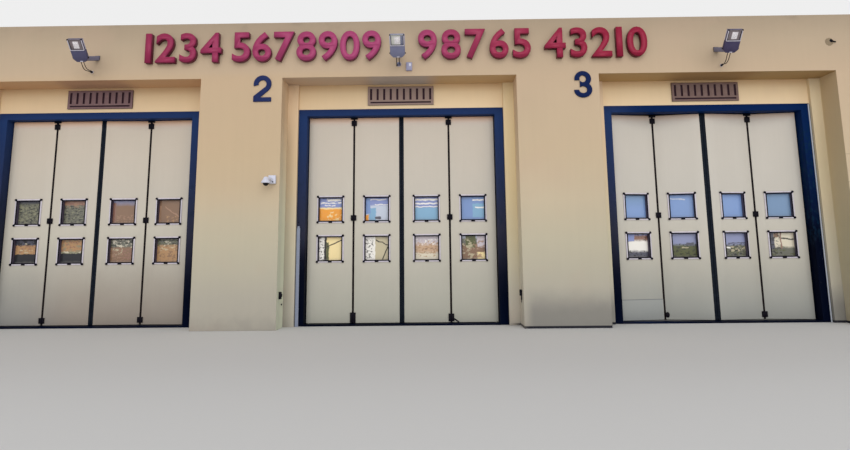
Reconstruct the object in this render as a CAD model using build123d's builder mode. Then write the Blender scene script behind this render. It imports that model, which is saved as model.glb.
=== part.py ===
from build123d import *
import math
import os

# Fire station hall with three engine bays side by side, in millimetres.
# X runs along the front from left to right, Y runs from the front to the rear and Z runs up.
# The origin lies on the ground, in the middle of the hall's footprint.

# Overall size
bay_count = 3
bay_pitch = 6450
recess_width = 4780
building_depth = 12000
parapet_top = 6200
recess_top = 5020

# Walls, roof and floor
recess_depth = 540
front_wall_thickness = 340
outer_wall_thickness = 300
parapet_thickness = 200
roof_thickness = 250
floor_thickness = 30

# Door frames
frame_width = 4340
frame_top = 4490
frame_step = 75
jamb_width = 180
header_height = 140
sill_height = 30

# Folding leaves: the fold is how far each pair stands off the plane of the door, in degrees
leaf_setback = 200
leaf_thickness = 60
leaf_edge_gap = 15
hinge_gap = 30
foot_gap = 10
head_gap = 10
centre_seal_width = 100
folds = {1: (0, 3), 2: (0, 0), 3: (10, 8)}
pivot_radius = 14
pivot_inset = 45

# Hinge between the two leaves of a pair: a strip in the joint, blocks over it and a shoe at the head
strip_setback = 4
strip_depth = 50
strip_clearance = 2
block_size = 114
block_thickness = 28
block_rows = (136, 2190, 4222)
shoe_width = 150
shoe_height = 42
shoe_clearance = 3
rod_lip = 2

# Windows in the leaves
window_size = 500
window_rows = (1554, 2374)
glass_thickness = 6
glass_overlap = 25

# Wall vents
vent_width = 1400
vent_height = 400
vent_thickness = 35
vent_height_above_frame = 75
slot_count = 10
slot_pitch = 140
slot_width = 46
slot_height = 245
slot_depth = 25
slot_drop = 45
long_slot_width = 1290
long_slot_height = 34
long_slot_rise = 55

# Flood lamps: each stands at an offset from the middle of its bay
lamps = {"left": (1, 220), "middle": (2, 7), "right": (3, 15)}
lamp_arm_height = 5490
lamp_reach = 550
lamp_tail_height = 5230
lamp_tilt = 50
lamp_length = 465
lamp_width = 290
lamp_thickness = 70
lamp_corner = 60
lamp_window = 200
lamp_window_width = 224
lamp_window_depth = 12
lamp_rim = 25
lamp_arm_size = 90
lamp_arm_inset = 60
lamp_plate_size = 100
lamp_plate_thickness = 10
gland_spacing = 52
gland_radius = 12
gland_length = 22

# Lamp leads: points from the middle of the lamp, out from the fascia and up from the ground
lead_radius = 7
lead_first_run = 50
lead_points = {
    "left_a": [(-33, 412, 5148), (-48, 330, 5138), (-66, 245, 5150), (-86, 160, 5168), (-109, 78, 5186)],
    "left_b": [(20, 414, 5157), (3, 330, 5149), (-21, 245, 5162), (-50, 160, 5182), (-87, 80, 5203)],
    "middle_a": [(-30, 412, 5150), (-34, 330, 5134), (-34, 245, 5150), (-28, 160, 5200), (-20, 80, 5262)],
    "middle_b": [(30, 414, 5156), (34, 330, 5142), (32, 245, 5160), (20, 160, 5212), (6, 80, 5278)],
    "right_a": [(-18, 412, 5135), (-4, 330, 5107), (16, 245, 5108), (42, 160, 5126), (72, 80, 5150)],
    "right_b": [(30, 414, 5140), (42, 330, 5115), (58, 245, 5116), (78, 160, 5134), (104, 80, 5161)],
}

# Dome camera on the pier to the left of bay 2
camera_inset = 140
camera_height = 2920
camera_box_width = 150
camera_box_height = 170
camera_box_depth = 60
camera_reach = 200
camera_side_step = 78
camera_cap_radius = 90
camera_cap_height = 125
camera_cap_drop = 88
camera_neck_radius = 36
camera_dome_radius = 58

# Bay numbers
number_insets = {1: 360, 2: 397, 3: 332}
number_height = 4794
numeral_height = 550
numeral_width = 364
numeral_stroke = 100
numeral_thickness = 25

# Lines that several pieces share
pier_width = bay_pitch - recess_width
building_width = bay_count * bay_pitch + pier_width
front_y = -building_depth / 2
rear_y = building_depth / 2
half_width = building_width / 2
recess_y = front_y + recess_depth
inner_front_y = recess_y + front_wall_thickness
frame_y = recess_y + frame_step
leaf_y = frame_y + leaf_setback
strip_width = (recess_width - frame_width) / 2
leaf_foot = sill_height + foot_gap
leaf_top = frame_top - header_height - head_gap
leaf_height = leaf_top - leaf_foot
door_width = frame_width - 2 * jamb_width
leaf_width = (door_width - centre_seal_width - 2 * leaf_edge_gap - 2 * hinge_gap) / 4

os.makedirs("parts", exist_ok=True)


def save(piece, name):
    """Labels a finished piece and writes its file."""
    piece.part.label = name
    export_step(piece.part, f"parts/{name}.step")


def bay_centre(bay):
    """X of the middle of a bay; the bays count from 1 at the left."""
    return (bay - (bay_count + 1) / 2) * bay_pitch


def upright_plane(x, y, z, direction=(1, 0)):
    """An upright plane that faces the street, with its X along the given direction in plan."""
    cos, sin = direction
    return Plane(origin=(x, y, z), x_dir=(cos, sin, 0), z_dir=(sin, -cos, 0))


def block(name, x_range, y_range, z_range):
    """A plain rectangular piece between two corners."""
    with BuildPart() as piece:
        with BuildSketch(Plane.XY.offset(z_range[0])):
            with Locations(((x_range[0] + x_range[1]) / 2, (y_range[0] + y_range[1]) / 2)):
                Rectangle(x_range[1] - x_range[0], y_range[1] - y_range[0])
        extrude(amount=z_range[1] - z_range[0])
    save(piece, name)


def make_pier(name, left, right, left_strip, right_strip):
    """A pier with the thinner wall behind it, which shows as a strip beside each door frame."""
    with BuildPart() as pier:
        with BuildSketch():
            with Locations((left, front_y)):
                Rectangle(right - left, recess_depth, align=(Align.MIN, Align.MIN))
            with Locations((left - left_strip, recess_y)):
                Rectangle(
                    right - left + left_strip + right_strip,
                    front_wall_thickness,
                    align=(Align.MIN, Align.MIN),
                )
        extrude(amount=recess_top)
    save(pier, name)


def make_door_frame(bay):
    """Steel frame with two jambs, a header and a low sill, set back from the face of the wall strips."""
    x = bay_centre(bay)
    with BuildPart() as frame:
        with BuildSketch(upright_plane(x, frame_y, 0)):
            Rectangle(frame_width, frame_top, align=(Align.CENTER, Align.MIN))
            with Locations((0, sill_height)):
                Rectangle(
                    door_width,
                    frame_top - header_height - sill_height,
                    align=(Align.CENTER, Align.MIN),
                    mode=Mode.SUBTRACT,
                )
        extrude(amount=frame_y - inner_front_y)
    save(frame, f"door_frame_{bay}")


def leaf_lines(bay):
    """Where the four leaves of a door start in plan, and the direction of each, from left to right."""
    fold_left, fold_right = (math.radians(a) for a in folds[bay])
    slack = 2 * leaf_width * (2 - math.cos(fold_left) - math.cos(fold_right))
    edge_gap = leaf_edge_gap + slack / 4
    door_left = bay_centre(bay) - door_width / 2
    door_right = bay_centre(bay) + door_width / 2
    pair_left = door_left + edge_gap
    pair_right = door_right - edge_gap - 2 * leaf_width * math.cos(fold_right) - hinge_gap
    lines = []
    for start, fold in ((pair_left, fold_left), (pair_right, fold_right)):
        reach = leaf_width * math.cos(fold)
        depth = leaf_width * math.sin(fold)
        lines.append((start, leaf_y, (math.cos(fold), math.sin(fold))))
        lines.append((start + reach + hinge_gap, leaf_y + depth, (math.cos(fold), -math.sin(fold))))
    return lines


def leaf_corner(line, along, inward):
    """A point in plan, measured along a leaf from its start and inward from its face."""
    x, y, (cos, sin) = line
    return (x + along * cos - inward * sin, y + along * sin + inward * cos)


def draw_leaf():
    """Face of a leaf with its two window openings, from its lower left corner."""
    Rectangle(leaf_width, leaf_height, align=(Align.MIN, Align.MIN))
    with Locations(*[(leaf_width / 2, row - leaf_foot) for row in window_rows]):
        Rectangle(window_size, window_size, mode=Mode.SUBTRACT)


def make_outer_leaf(bay, letter, line, pivot_along):
    """A flat steel leaf with two windows cut through, which turns on pins in the sill and header."""
    x, y, direction = line
    pin = leaf_corner(line, pivot_along, leaf_thickness / 2)
    with BuildPart() as leaf:
        with BuildSketch(upright_plane(x, y, leaf_foot, direction)):
            draw_leaf()
        extrude(amount=-leaf_thickness)
        for height, length in ((sill_height, foot_gap), (leaf_top, head_gap)):
            with BuildSketch(Plane.XY.offset(height)):
                with Locations(pin):
                    Circle(pivot_radius)
            extrude(amount=length)
    save(leaf, f"door_leaf_{bay}{letter}")


def draw_hinge(left, right, width):
    """Plan of a hinge plate of this width that lies on the faces of both leaves."""
    reach = (width - hinge_gap) / 2
    Polygon(
        leaf_corner(left, leaf_width - reach, 0),
        leaf_corner(left, leaf_width, 0),
        leaf_corner(right, 0, 0),
        leaf_corner(right, reach, 0),
        leaf_corner(right, reach, -block_thickness),
        leaf_corner(left, leaf_width - reach, -block_thickness),
        align=None,
    )


def draw_hinge_strip(left, right, left_clearance, right_clearance):
    """Plan of the strip in the joint between two leaves."""
    Polygon(
        leaf_corner(left, leaf_width + left_clearance, strip_setback),
        leaf_corner(right, -right_clearance, strip_setback),
        leaf_corner(right, -right_clearance, strip_depth),
        leaf_corner(left, leaf_width + left_clearance, strip_depth),
        align=None,
    )


def make_inner_leaf(bay, letter, left, right, carries_on_left):
    """A leaf beside the centre seal, with the hinge parts that join it to the outer leaf of its pair."""
    line = right if carries_on_left else left
    left_clearance = strip_clearance if carries_on_left else 0
    right_clearance = 0 if carries_on_left else strip_clearance
    x, y, direction = line
    shoe_top = frame_top - header_height - shoe_clearance
    rod_foot = block_rows[-1] + block_size / 2
    with BuildPart() as leaf:
        with BuildSketch(upright_plane(x, y, leaf_foot, direction)):
            draw_leaf()
        extrude(amount=-leaf_thickness)
        with BuildSketch(Plane.XY.offset(leaf_foot)):
            draw_hinge_strip(left, right, left_clearance, right_clearance)
        extrude(amount=leaf_height)
        for row in block_rows:
            with BuildSketch(Plane.XY.offset(row - block_size / 2)):
                draw_hinge(left, right, block_size)
            extrude(amount=block_size)
        with BuildSketch(Plane.XY.offset(rod_foot)):
            draw_hinge(left, right, hinge_gap + 2 * rod_lip)
        extrude(amount=shoe_top - rod_foot)
        with BuildSketch(Plane.XY.offset(shoe_top - shoe_height)):
            draw_hinge(left, right, shoe_width)
        extrude(amount=shoe_height)
    save(leaf, f"door_leaf_{bay}{letter}")


def make_centre_seal(bay, lines):
    """Rubber seal that fills the gap between the two middle leaves."""
    with BuildPart() as seal:
        with BuildSketch(Plane.XY.offset(leaf_foot)):
            with BuildLine():
                Polyline(
                    leaf_corner(lines[1], leaf_width, 0),
                    leaf_corner(lines[2], 0, 0),
                    leaf_corner(lines[2], 0, leaf_thickness),
                    leaf_corner(lines[1], leaf_width, leaf_thickness),
                    close=True,
                )
            make_face()
        extrude(amount=leaf_height)
    save(seal, f"centre_seal_{bay}")


def make_door_glass(bay, lines):
    """One sheet of glass for a door, lying on the inner face of its four leaves."""
    near = []
    for line in lines:
        near.append(leaf_corner(line, 0, leaf_thickness))
        near.append(leaf_corner(line, leaf_width, leaf_thickness))
    far = [(x, y + glass_thickness) for x, y in reversed(near)]
    bottom = window_rows[0] - window_size / 2 - glass_overlap
    top = window_rows[-1] + window_size / 2 + glass_overlap
    with BuildPart() as glass:
        with BuildSketch(Plane.XY.offset(bottom)):
            with BuildLine():
                Polyline(*near, *far, close=True)
            make_face()
        extrude(amount=top - bottom)
    save(glass, f"door_glass_{bay}")


def make_vent(bay):
    """Slotted cover over the door: a row of upright slots above one long slot."""
    bottom = frame_top + vent_height_above_frame
    with BuildPart() as vent:
        with BuildSketch(upright_plane(bay_centre(bay), frame_y, bottom)):
            Rectangle(vent_width, vent_height, align=(Align.CENTER, Align.MIN))
        extrude(amount=vent_thickness)
        with BuildSketch(upright_plane(bay_centre(bay), frame_y - vent_thickness, bottom)):
            with Locations((0, vent_height - slot_drop - slot_height / 2)):
                with GridLocations(slot_pitch, 0, slot_count, 1):
                    Rectangle(slot_width, slot_height)
            with Locations((0, long_slot_rise)):
                Rectangle(long_slot_width, long_slot_height)
        extrude(amount=-slot_depth, mode=Mode.SUBTRACT)
    save(vent, f"wall_vent_{bay}")


def lamp_face(side):
    """Plane of a lamp's face, with its origin at the tail and its Y along the lamp."""
    bay, offset = lamps[side]
    tilt = math.radians(lamp_tilt)
    return Plane(
        origin=(bay_centre(bay) + offset, front_y - lamp_reach, lamp_tail_height),
        x_dir=(1, 0, 0),
        z_dir=(0, -math.sin(tilt), -math.cos(tilt)),
    )


def make_flood_lamp(side):
    """Flood lamp that faces down and out, on a square arm that falls away from a plate on the fascia."""
    face = lamp_face(side)
    x = face.origin.X
    window_middle = lamp_length - lamp_rim - lamp_window / 2
    seat = face.from_local_coords((0, lamp_arm_inset, -lamp_thickness / 2))
    arm_start = Vector(x, front_y, lamp_arm_height)
    arm = seat - arm_start
    with BuildPart() as lamp:
        with BuildSketch(face):
            Rectangle(lamp_width, lamp_length, align=(Align.CENTER, Align.MIN))
        extrude(amount=-lamp_thickness)
        tail_corners = lamp.edges().filter_by(lambda e: e.length < lamp_thickness + 1).sort_by(Axis.Z)[:2]
        chamfer(tail_corners, length=lamp_corner)
        with BuildSketch(face):
            with Locations((0, window_middle)):
                Rectangle(lamp_window_width, lamp_window)
        extrude(amount=-lamp_window_depth, mode=Mode.SUBTRACT)
        tail_middle = face.from_local_coords((0, 0, -lamp_thickness / 2))
        with BuildSketch(Plane(origin=tail_middle, x_dir=(1, 0, 0), z_dir=-face.y_dir)):
            with GridLocations(gland_spacing, 0, 2, 1):
                Circle(gland_radius)
        extrude(amount=gland_length)
        arm_foot = arm_start - arm.normalized() * lamp_arm_size
        with BuildSketch(Plane(origin=arm_foot, x_dir=(1, 0, 0), z_dir=arm)):
            Rectangle(lamp_arm_size, lamp_arm_size)
        extrude(amount=arm.length + lamp_arm_size)
        with BuildSketch(upright_plane(x, front_y, lamp_arm_height)):
            Rectangle(4 * lamp_arm_size, 4 * lamp_arm_size)
        extrude(amount=-2 * lamp_arm_size, mode=Mode.SUBTRACT)
        with BuildSketch(upright_plane(x, front_y, lamp_arm_height)):
            Rectangle(lamp_plate_size, lamp_plate_size)
        extrude(amount=lamp_plate_thickness)
    save(lamp, f"flood_lamp_{side}")


def make_lead(name):
    """A lamp's lead, which leaves its gland straight, hangs in a bow and enters the fascia squarely."""
    side, letter = name.split("_")
    face = lamp_face(side)
    half_spacing = gland_spacing / 2 * (-1 if letter == "a" else 1)
    exits = [
        face.from_local_coords((half_spacing, -gland_length - run, -lamp_thickness / 2))
        for run in (0, lead_first_run)
    ]
    bow = [Vector(face.origin.X + x, front_y - out, z) for x, out, z in lead_points[name]]
    entry = Vector(bow[-1].X, front_y, bow[-1].Z)
    route = exits + bow + [entry]
    runs = [end - start for start, end in zip(route, route[1:])]
    radii = []
    for before, after in zip(runs, runs[1:]):
        half_turn = math.radians(before.get_angle(after)) / 2
        radii.append(0.45 * min(before.length, after.length) / math.tan(half_turn))
    with BuildPart() as lead:
        with BuildLine() as path:
            FilletPolyline(*route, radius=radii)
        centreline = path.wire()
        with BuildSketch(Plane(origin=centreline @ 0, z_dir=centreline % 0)):
            Circle(lead_radius)
        sweep(path=centreline)
    share = lead.part.volume / (math.pi * lead_radius**2 * centreline.length)
    print(f"lamp_lead_{name}: {centreline.length:.1f} mm long, {share:.4f} of a tube's volume")
    print("bend radii in mm:", [round(radius) for radius in radii])
    save(lead, f"lamp_lead_{name}")


def make_dome_camera():
    """Camera under a round cap, held off the pier by a short neck on a flat box."""
    x = bay_centre(2) - recess_width / 2 - camera_inset
    cap_x = x - camera_side_step
    cap_y = front_y - camera_reach
    with BuildPart() as camera:
        with BuildSketch(upright_plane(x, front_y, camera_height)):
            RectangleRounded(camera_box_width, camera_box_height, camera_box_width / 6)
        extrude(amount=camera_box_depth)
        neck_start = Vector(x, front_y - camera_box_depth / 2, camera_height)
        neck = Vector(cap_x, cap_y, camera_height) - neck_start
        with BuildSketch(Plane(origin=neck_start, x_dir=(0, 0, 1), z_dir=neck)):
            Circle(camera_neck_radius)
        extrude(amount=neck.length)
        cap_foot = Vector(cap_x, cap_y, camera_height - camera_cap_drop)
        with BuildSketch(Plane(origin=cap_foot, x_dir=(1, 0, 0), z_dir=(0, -1, 0))):
            with BuildLine():
                Polyline(
                    (0, -camera_dome_radius),
                    (0, camera_cap_height),
                    (camera_neck_radius, camera_cap_height),
                    (camera_cap_radius, camera_cap_height / 4),
                    (camera_cap_radius, 0),
                    (camera_dome_radius, 0),
                )
                RadiusArc((camera_dome_radius, 0), (0, -camera_dome_radius), camera_dome_radius)
            make_face()
        revolve(axis=Axis((cap_x, cap_y, 0), (0, 0, 1)))
    save(camera, "dome_camera")


def draw_one():
    """Upright bar with a short flag."""
    half = numeral_stroke / 2
    Polygon(
        (-half, 0),
        (half, 0),
        (half, numeral_height),
        (0, numeral_height),
        (-numeral_width / 2, numeral_height - 1.4 * numeral_stroke),
        (-numeral_width / 2, numeral_height - 2.4 * numeral_stroke),
        (-half, numeral_height - 1.6 * numeral_stroke),
        align=None,
    )


def draw_two():
    """Round top that runs down a slant to a flat foot."""
    radius = numeral_width / 2
    inner = radius - numeral_stroke
    centre = numeral_height - radius
    slant = math.radians(-51)
    terminal = math.radians(192)
    with Locations((0, centre)):
        Circle(radius)
        Circle(inner, mode=Mode.SUBTRACT)
    Polygon(
        (0, centre),
        (2 * radius * math.cos(slant), centre + 2 * radius * math.sin(slant)),
        (0, centre - 3 * radius),
        (2 * radius * math.cos(terminal), centre + 2 * radius * math.sin(terminal)),
        align=None,
        mode=Mode.SUBTRACT,
    )
    Polygon(
        (-radius, 0),
        (radius, 0),
        (radius, 0.9 * numeral_stroke),
        (-radius + 1.4 * numeral_stroke, 0.9 * numeral_stroke),
        (radius * math.cos(slant), centre + radius * math.sin(slant)),
        (inner * math.cos(slant), centre + inner * math.sin(slant)),
        (-radius, 1.15 * numeral_stroke),
        align=None,
    )


def draw_three():
    """Two oval bowls, open to the left of a short middle bar."""
    bowl_height = (numeral_height + 0.98 * numeral_stroke) / 4
    lower = bowl_height
    upper = numeral_height - bowl_height
    for half_bowl, middle in ((0.92 * numeral_width / 2, upper), (numeral_width / 2, lower)):
        with Locations((0, middle)):
            Ellipse(half_bowl, bowl_height)
    for half_bowl, middle in ((0.92 * numeral_width / 2, upper), (numeral_width / 2, lower)):
        with Locations((0, middle)):
            Ellipse(half_bowl - numeral_stroke, bowl_height - 0.9 * numeral_stroke, mode=Mode.SUBTRACT)
    nose = 0.6 * numeral_stroke
    opening = upper - lower - 0.25 * numeral_stroke
    with Locations((-nose, (upper + lower) / 2 - 0.15 * numeral_stroke)):
        Rectangle(numeral_width / 2, opening, align=(Align.MAX, Align.CENTER), mode=Mode.SUBTRACT)


def make_bay_number(bay, draw):
    """Raised numeral on the pier to the left of a bay."""
    x = bay_centre(bay) - recess_width / 2 - number_insets[bay]
    with BuildPart() as number:
        with BuildSketch(upright_plane(x, front_y, number_height - numeral_height / 2)):
            draw()
        extrude(amount=numeral_thickness)
    save(number, f"bay_number_{bay}")


# Hall: floor, walls, roof and the parapet that carries the fascia over the bays
inner_x = half_width - outer_wall_thickness
inner_rear_y = rear_y - outer_wall_thickness
block("floor_slab", (-inner_x, inner_x), (inner_front_y, inner_rear_y), (0, floor_thickness))
block("left_wall", (-half_width, -inner_x), (inner_front_y, inner_rear_y), (0, recess_top))
block("right_wall", (inner_x, half_width), (inner_front_y, inner_rear_y), (0, recess_top))
block("rear_wall", (-half_width, half_width), (inner_rear_y, rear_y), (0, recess_top))
roof_x = half_width - parapet_thickness
roof_front_y = front_y + parapet_thickness
roof_rear_y = rear_y - parapet_thickness
block("roof_slab", (-roof_x, roof_x), (roof_front_y, roof_rear_y), (recess_top, recess_top + roof_thickness))

with BuildPart() as parapet:
    with BuildSketch(Plane.XY.offset(recess_top)):
        Rectangle(building_width, building_depth)
        Rectangle(2 * roof_x, roof_rear_y - roof_front_y, mode=Mode.SUBTRACT)
    extrude(amount=parapet_top - recess_top)
save(parapet, "roof_parapet")

# Piers between and beside the bays
for gap in range(bay_count + 1):
    pier_left = -half_width + gap * bay_pitch
    first = gap == 0
    last = gap == bay_count
    pier_name = "pier_left" if first else "pier_right" if last else f"pier_{gap}_{gap + 1}"
    left_strip = 0 if first else strip_width
    right_strip = 0 if last else strip_width
    make_pier(pier_name, pier_left, pier_left + pier_width, left_strip, right_strip)

# Each bay: wall over the door, frame, leaves, seal, glass, vent and number
for bay in range(1, bay_count + 1):
    frame_left = bay_centre(bay) - frame_width / 2
    block(
        f"over_door_wall_{bay}",
        (frame_left, frame_left + frame_width),
        (frame_y, inner_front_y),
        (frame_top, recess_top),
    )
    make_door_frame(bay)
    lines = leaf_lines(bay)
    make_outer_leaf(bay, "a", lines[0], pivot_inset)
    make_inner_leaf(bay, "b", lines[0], lines[1], True)
    make_inner_leaf(bay, "c", lines[2], lines[3], False)
    make_outer_leaf(bay, "d", lines[3], leaf_width - pivot_inset)
    make_centre_seal(bay, lines)
    make_door_glass(bay, lines)
    make_vent(bay)

for bay, draw in ((1, draw_one), (2, draw_two), (3, draw_three)):
    make_bay_number(bay, draw)

for side in lamps:
    make_flood_lamp(side)

for name in lead_points:
    make_lead(name)

make_dome_camera()
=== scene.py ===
import bmesh
import bpy
import math
from mathutils import Euler, Matrix, Vector


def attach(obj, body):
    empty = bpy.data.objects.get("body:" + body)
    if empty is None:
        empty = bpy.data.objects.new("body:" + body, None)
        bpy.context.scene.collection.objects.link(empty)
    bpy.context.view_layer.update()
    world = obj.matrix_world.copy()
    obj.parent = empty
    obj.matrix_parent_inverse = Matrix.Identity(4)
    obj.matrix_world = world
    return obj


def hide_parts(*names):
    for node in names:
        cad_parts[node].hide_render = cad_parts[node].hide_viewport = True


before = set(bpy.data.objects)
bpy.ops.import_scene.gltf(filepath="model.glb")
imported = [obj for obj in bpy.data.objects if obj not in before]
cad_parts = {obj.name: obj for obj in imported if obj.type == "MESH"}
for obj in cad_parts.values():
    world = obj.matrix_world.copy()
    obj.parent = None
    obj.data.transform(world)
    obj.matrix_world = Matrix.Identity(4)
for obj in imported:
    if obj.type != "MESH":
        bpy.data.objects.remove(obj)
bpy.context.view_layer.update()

# Camera, floor and light. The camera stands before the middle bay at eye height and looks up a little. The
# floor and the background are plain and pale, and the light is soft.
background_tone = (0.86, 0.86, 0.86, 1)
floor_tone = (0.7, 0.7, 0.7, 1)
floor_bounce = (0.72, 0.72, 0.72, 1)
floor_size = 150
floor_drop = 0.002
sky_light = 0.62
sun_spread = math.radians(75)
suns = {"front_light": (1.95, (78, 0, 6)), "rear_light": (1.5, (66, 0, 165))}
scene = bpy.context.scene
scene.view_settings.view_transform = "Standard"


def add_object(name, data, turns=(0, 0, 0)):
    """Puts a new object in the scene, turned by these degrees about X, Y and Z."""
    made = bpy.data.objects.new(name, data)
    made.rotation_euler = Euler([math.radians(turn) for turn in turns])
    scene.collection.objects.link(made)
    return made


class Shade:
    """A socket of a finish or world. Sums and products of shades and numbers add their own Math nodes."""

    def __init__(self, tree, socket=None):
        self.tree = tree
        self.socket = socket

    def node(self, kind, settings, inputs, output=0):
        """Adds a node: its settings or ramp stops are made first, then the values or links of its sockets."""
        made = self.tree.nodes.new("ShaderNode" + kind)
        for name, value in settings.items():
            if name == "stops":
                ramp = made.color_ramp
                while len(ramp.elements) < len(value):
                    ramp.elements.new(1.0)
                for stop, (position, tint) in zip(ramp.elements, value):
                    stop.position = position
                    stop.color = tint
            else:
                setattr(made, name, value)
        for name, value in inputs.items():
            if isinstance(value, Shade):
                self.tree.links.new(value.socket, made.inputs[name])
            else:
                made.inputs[name].default_value = value
        return Shade(self.tree, made.outputs[output] if made.outputs else None)

    def __add__(self, other):
        return self.node("Math", {"operation": "ADD"}, {0: self, 1: other})

    def __sub__(self, other):
        return self.node("Math", {"operation": "SUBTRACT"}, {0: self, 1: other})

    def __rsub__(self, other):
        return self.node("Math", {"operation": "SUBTRACT"}, {0: other, 1: self})

    def __mul__(self, other):
        return self.node("Math", {"operation": "MULTIPLY"}, {0: self, 1: other})

    __radd__ = __add__
    __rmul__ = __mul__


def light_and_view(owner, kind, rays, unseen, seen, end):
    """Gives a world or a finish two shaders of one kind: one gives light, and these rays see the other."""
    owner.use_nodes = True
    owner.node_tree.nodes.clear()
    tree = Shade(owner.node_tree)
    share = tree.node("LightPath", {}, {}, rays[0])
    for ray in rays[1:]:
        other = tree.node("LightPath", {}, {}, ray)
        share = tree.node("Math", {"operation": "MAXIMUM"}, {0: share, 1: other})
    light, view = (tree.node(kind, {}, values) for values in (unseen, seen))
    tree.node(end, {}, {"Surface": tree.node("MixShader", {}, {0: share, 1: light, 2: view})})


camera = add_object("camera", bpy.data.cameras.new("camera"), (98.65298, 0.55517, 0.849))
camera.location = (0.6716, -17.8405, 1.4597)
camera.data.sensor_width = 36
camera.data.lens = 25.412
camera.data.shift_y = -0.0753
camera.data.clip_end = 500
scene.camera = camera
for name, (strength, turns) in suns.items():
    light = bpy.data.lights.new(name, "SUN")
    light.energy = strength
    light.angle = sun_spread
    add_object(name, light, turns)
scene.world = bpy.data.worlds.new("studio")
light_and_view(
    scene.world,
    "Background",
    ("Is Camera Ray", "Is Glossy Ray", "Is Transmission Ray"),
    {"Strength": sky_light},
    {"Color": background_tone},
    "OutputWorld",
)
floor_material = bpy.data.materials.new("studio_floor")
light_and_view(
    floor_material,
    "BsdfDiffuse",
    ("Is Camera Ray",),
    {"Color": floor_bounce},
    {"Color": floor_tone},
    "OutputMaterial",
)
floor_mesh = bmesh.new()
bmesh.ops.create_grid(floor_mesh, x_segments=1, y_segments=1, size=floor_size)
bmesh.ops.translate(floor_mesh, vec=(0, 0, -floor_drop), verts=floor_mesh.verts)
floor_data = bpy.data.meshes.new("studio_floor")
floor_mesh.to_mesh(floor_data)
floor_mesh.free()
floor_data.materials.append(floor_material)
floor = add_object("studio_floor", floor_data)

# Leads of the flood lamps. Two black rubber cables leave the glands in the tail of each lamp, hang in a
# bow below the arm and enter the fascia side by side. They are round, 14 mm thick and slightly dusty.
front_y = -6.0
bay_pitch = 6.45
lamp_middles = {"left": -bay_pitch + 0.22, "middle": 0.007, "right": bay_pitch + 0.015}
lamp_reach = 0.55
lamp_tail_height = 5.23
lamp_tilt = math.radians(50)
lamp_thickness = 0.07
gland_spacing = 0.052
gland_length = 0.022
lead_radius = 0.007
lead_first_run = 0.05
# the length of each lead in metres, and its bow in millimetres: across from the lamp, out and up
leads = {
    "left_a": (
        0.5546, (-33, 412, 5148), (-48, 330, 5138), (-66, 245, 5150), (-86, 160, 5168), (-109, 78, 5186),
    ),
    "left_b": (
        0.5593, (20, 414, 5157), (3, 330, 5149), (-21, 245, 5162), (-50, 160, 5182), (-87, 80, 5203),
    ),
    "middle_a": (
        0.575, (-30, 412, 5150), (-34, 330, 5134), (-34, 245, 5150), (-28, 160, 5200), (-20, 80, 5262),
    ),
    "middle_b": (
        0.5764, (30, 414, 5156), (34, 330, 5142), (32, 245, 5160), (20, 160, 5212), (6, 80, 5278),
    ),
    "right_a": (
        0.5713, (-18, 412, 5135), (-4, 330, 5107), (16, 245, 5108), (42, 160, 5126), (72, 80, 5150),
    ),
    "right_b": (
        0.5641, (30, 414, 5140), (42, 330, 5115), (58, 245, 5116), (78, 160, 5134), (104, 80, 5161),
    ),
}


def paint(*levels):
    """A colour given from 0 to 255, as it looks on a screen."""
    shares = [level / 255 for level in levels]
    return (*(s / 12.92 if s < 0.04045 else ((s + 0.055) / 1.055) ** 2.4 for s in shares), 1.0)


def new_finish(name):
    """A new finish, and its place on the building in metres."""
    material = bpy.data.materials.new(name)
    material.use_nodes = True
    return material, Shade(material.node_tree).node("TexCoord", {}, {}, "Object")


def axes(place):
    """The three coordinates of a place."""
    return [place.node("SeparateXYZ", {}, {"Vector": place}, letter) for letter in "XYZ"]


def noise(place, size, detail=3, stretch=(1, 1, 1)):
    """Cloudy pattern from 0 to 1 with patches of about this size in metres."""
    placed = place.node("Mapping", {}, {"Vector": place, "Scale": tuple(1 / (size * s) for s in stretch)})
    return place.node("TexNoise", {}, {"Vector": placed, "Scale": 1.0, "Detail": detail, "Roughness": 0.55})


def rise(value, low, high):
    """Goes smoothly from 0 at the low value to 1 at the high one."""
    if low > high:
        return 1 - rise(value, high, low)
    settings = {"interpolation_type": "SMOOTHSTEP"}
    return value.node("MapRange", settings, {"Value": value, "From Min": low, "From Max": high})


def span(value, low, full, last, high):
    """Rises from 0 at the low value to 1 at the full one, and falls from the last to 0 at the high one."""
    return rise(value, low, full) * rise(value, high, last)


def mix(share, first, second):
    """A colour that goes from the first to the second, shades or levels, as the share goes from 0 to 1."""
    first, second = (tint if isinstance(tint, Shade) else paint(*tint) for tint in (first, second))
    return share.node("Mix", {"data_type": "RGBA"}, {0: share, 6: first, 7: second}, 2)


def tone(colour, factor):
    """A colour made lighter or darker by a factor."""
    return factor.node("VectorMath", {"operation": "SCALE"}, {0: colour, "Scale": factor})


def bump(height, depth):
    """Small relief on a surface, where the height pattern from 0 to 1 is this deep in metres."""
    return height.node("Bump", {}, {"Height": height, "Strength": 1.0, "Distance": depth}, "Normal")


def coat(material, colour, rough, relief, shine=0.25, metallic=0.0):
    """Gives a finish its colour, its roughness, its relief and how strongly it reflects."""
    shader = material.node_tree.nodes["Principled BSDF"]
    shader.inputs["Specular IOR Level"].default_value = shine
    sockets = {"Base Color": colour, "Roughness": rough, "Normal": relief, "Metallic": metallic}
    for name, value in sockets.items():
        if isinstance(value, Shade):
            material.node_tree.links.new(value.socket, shader.inputs[name])
        else:
            shader.inputs[name].default_value = value


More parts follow.
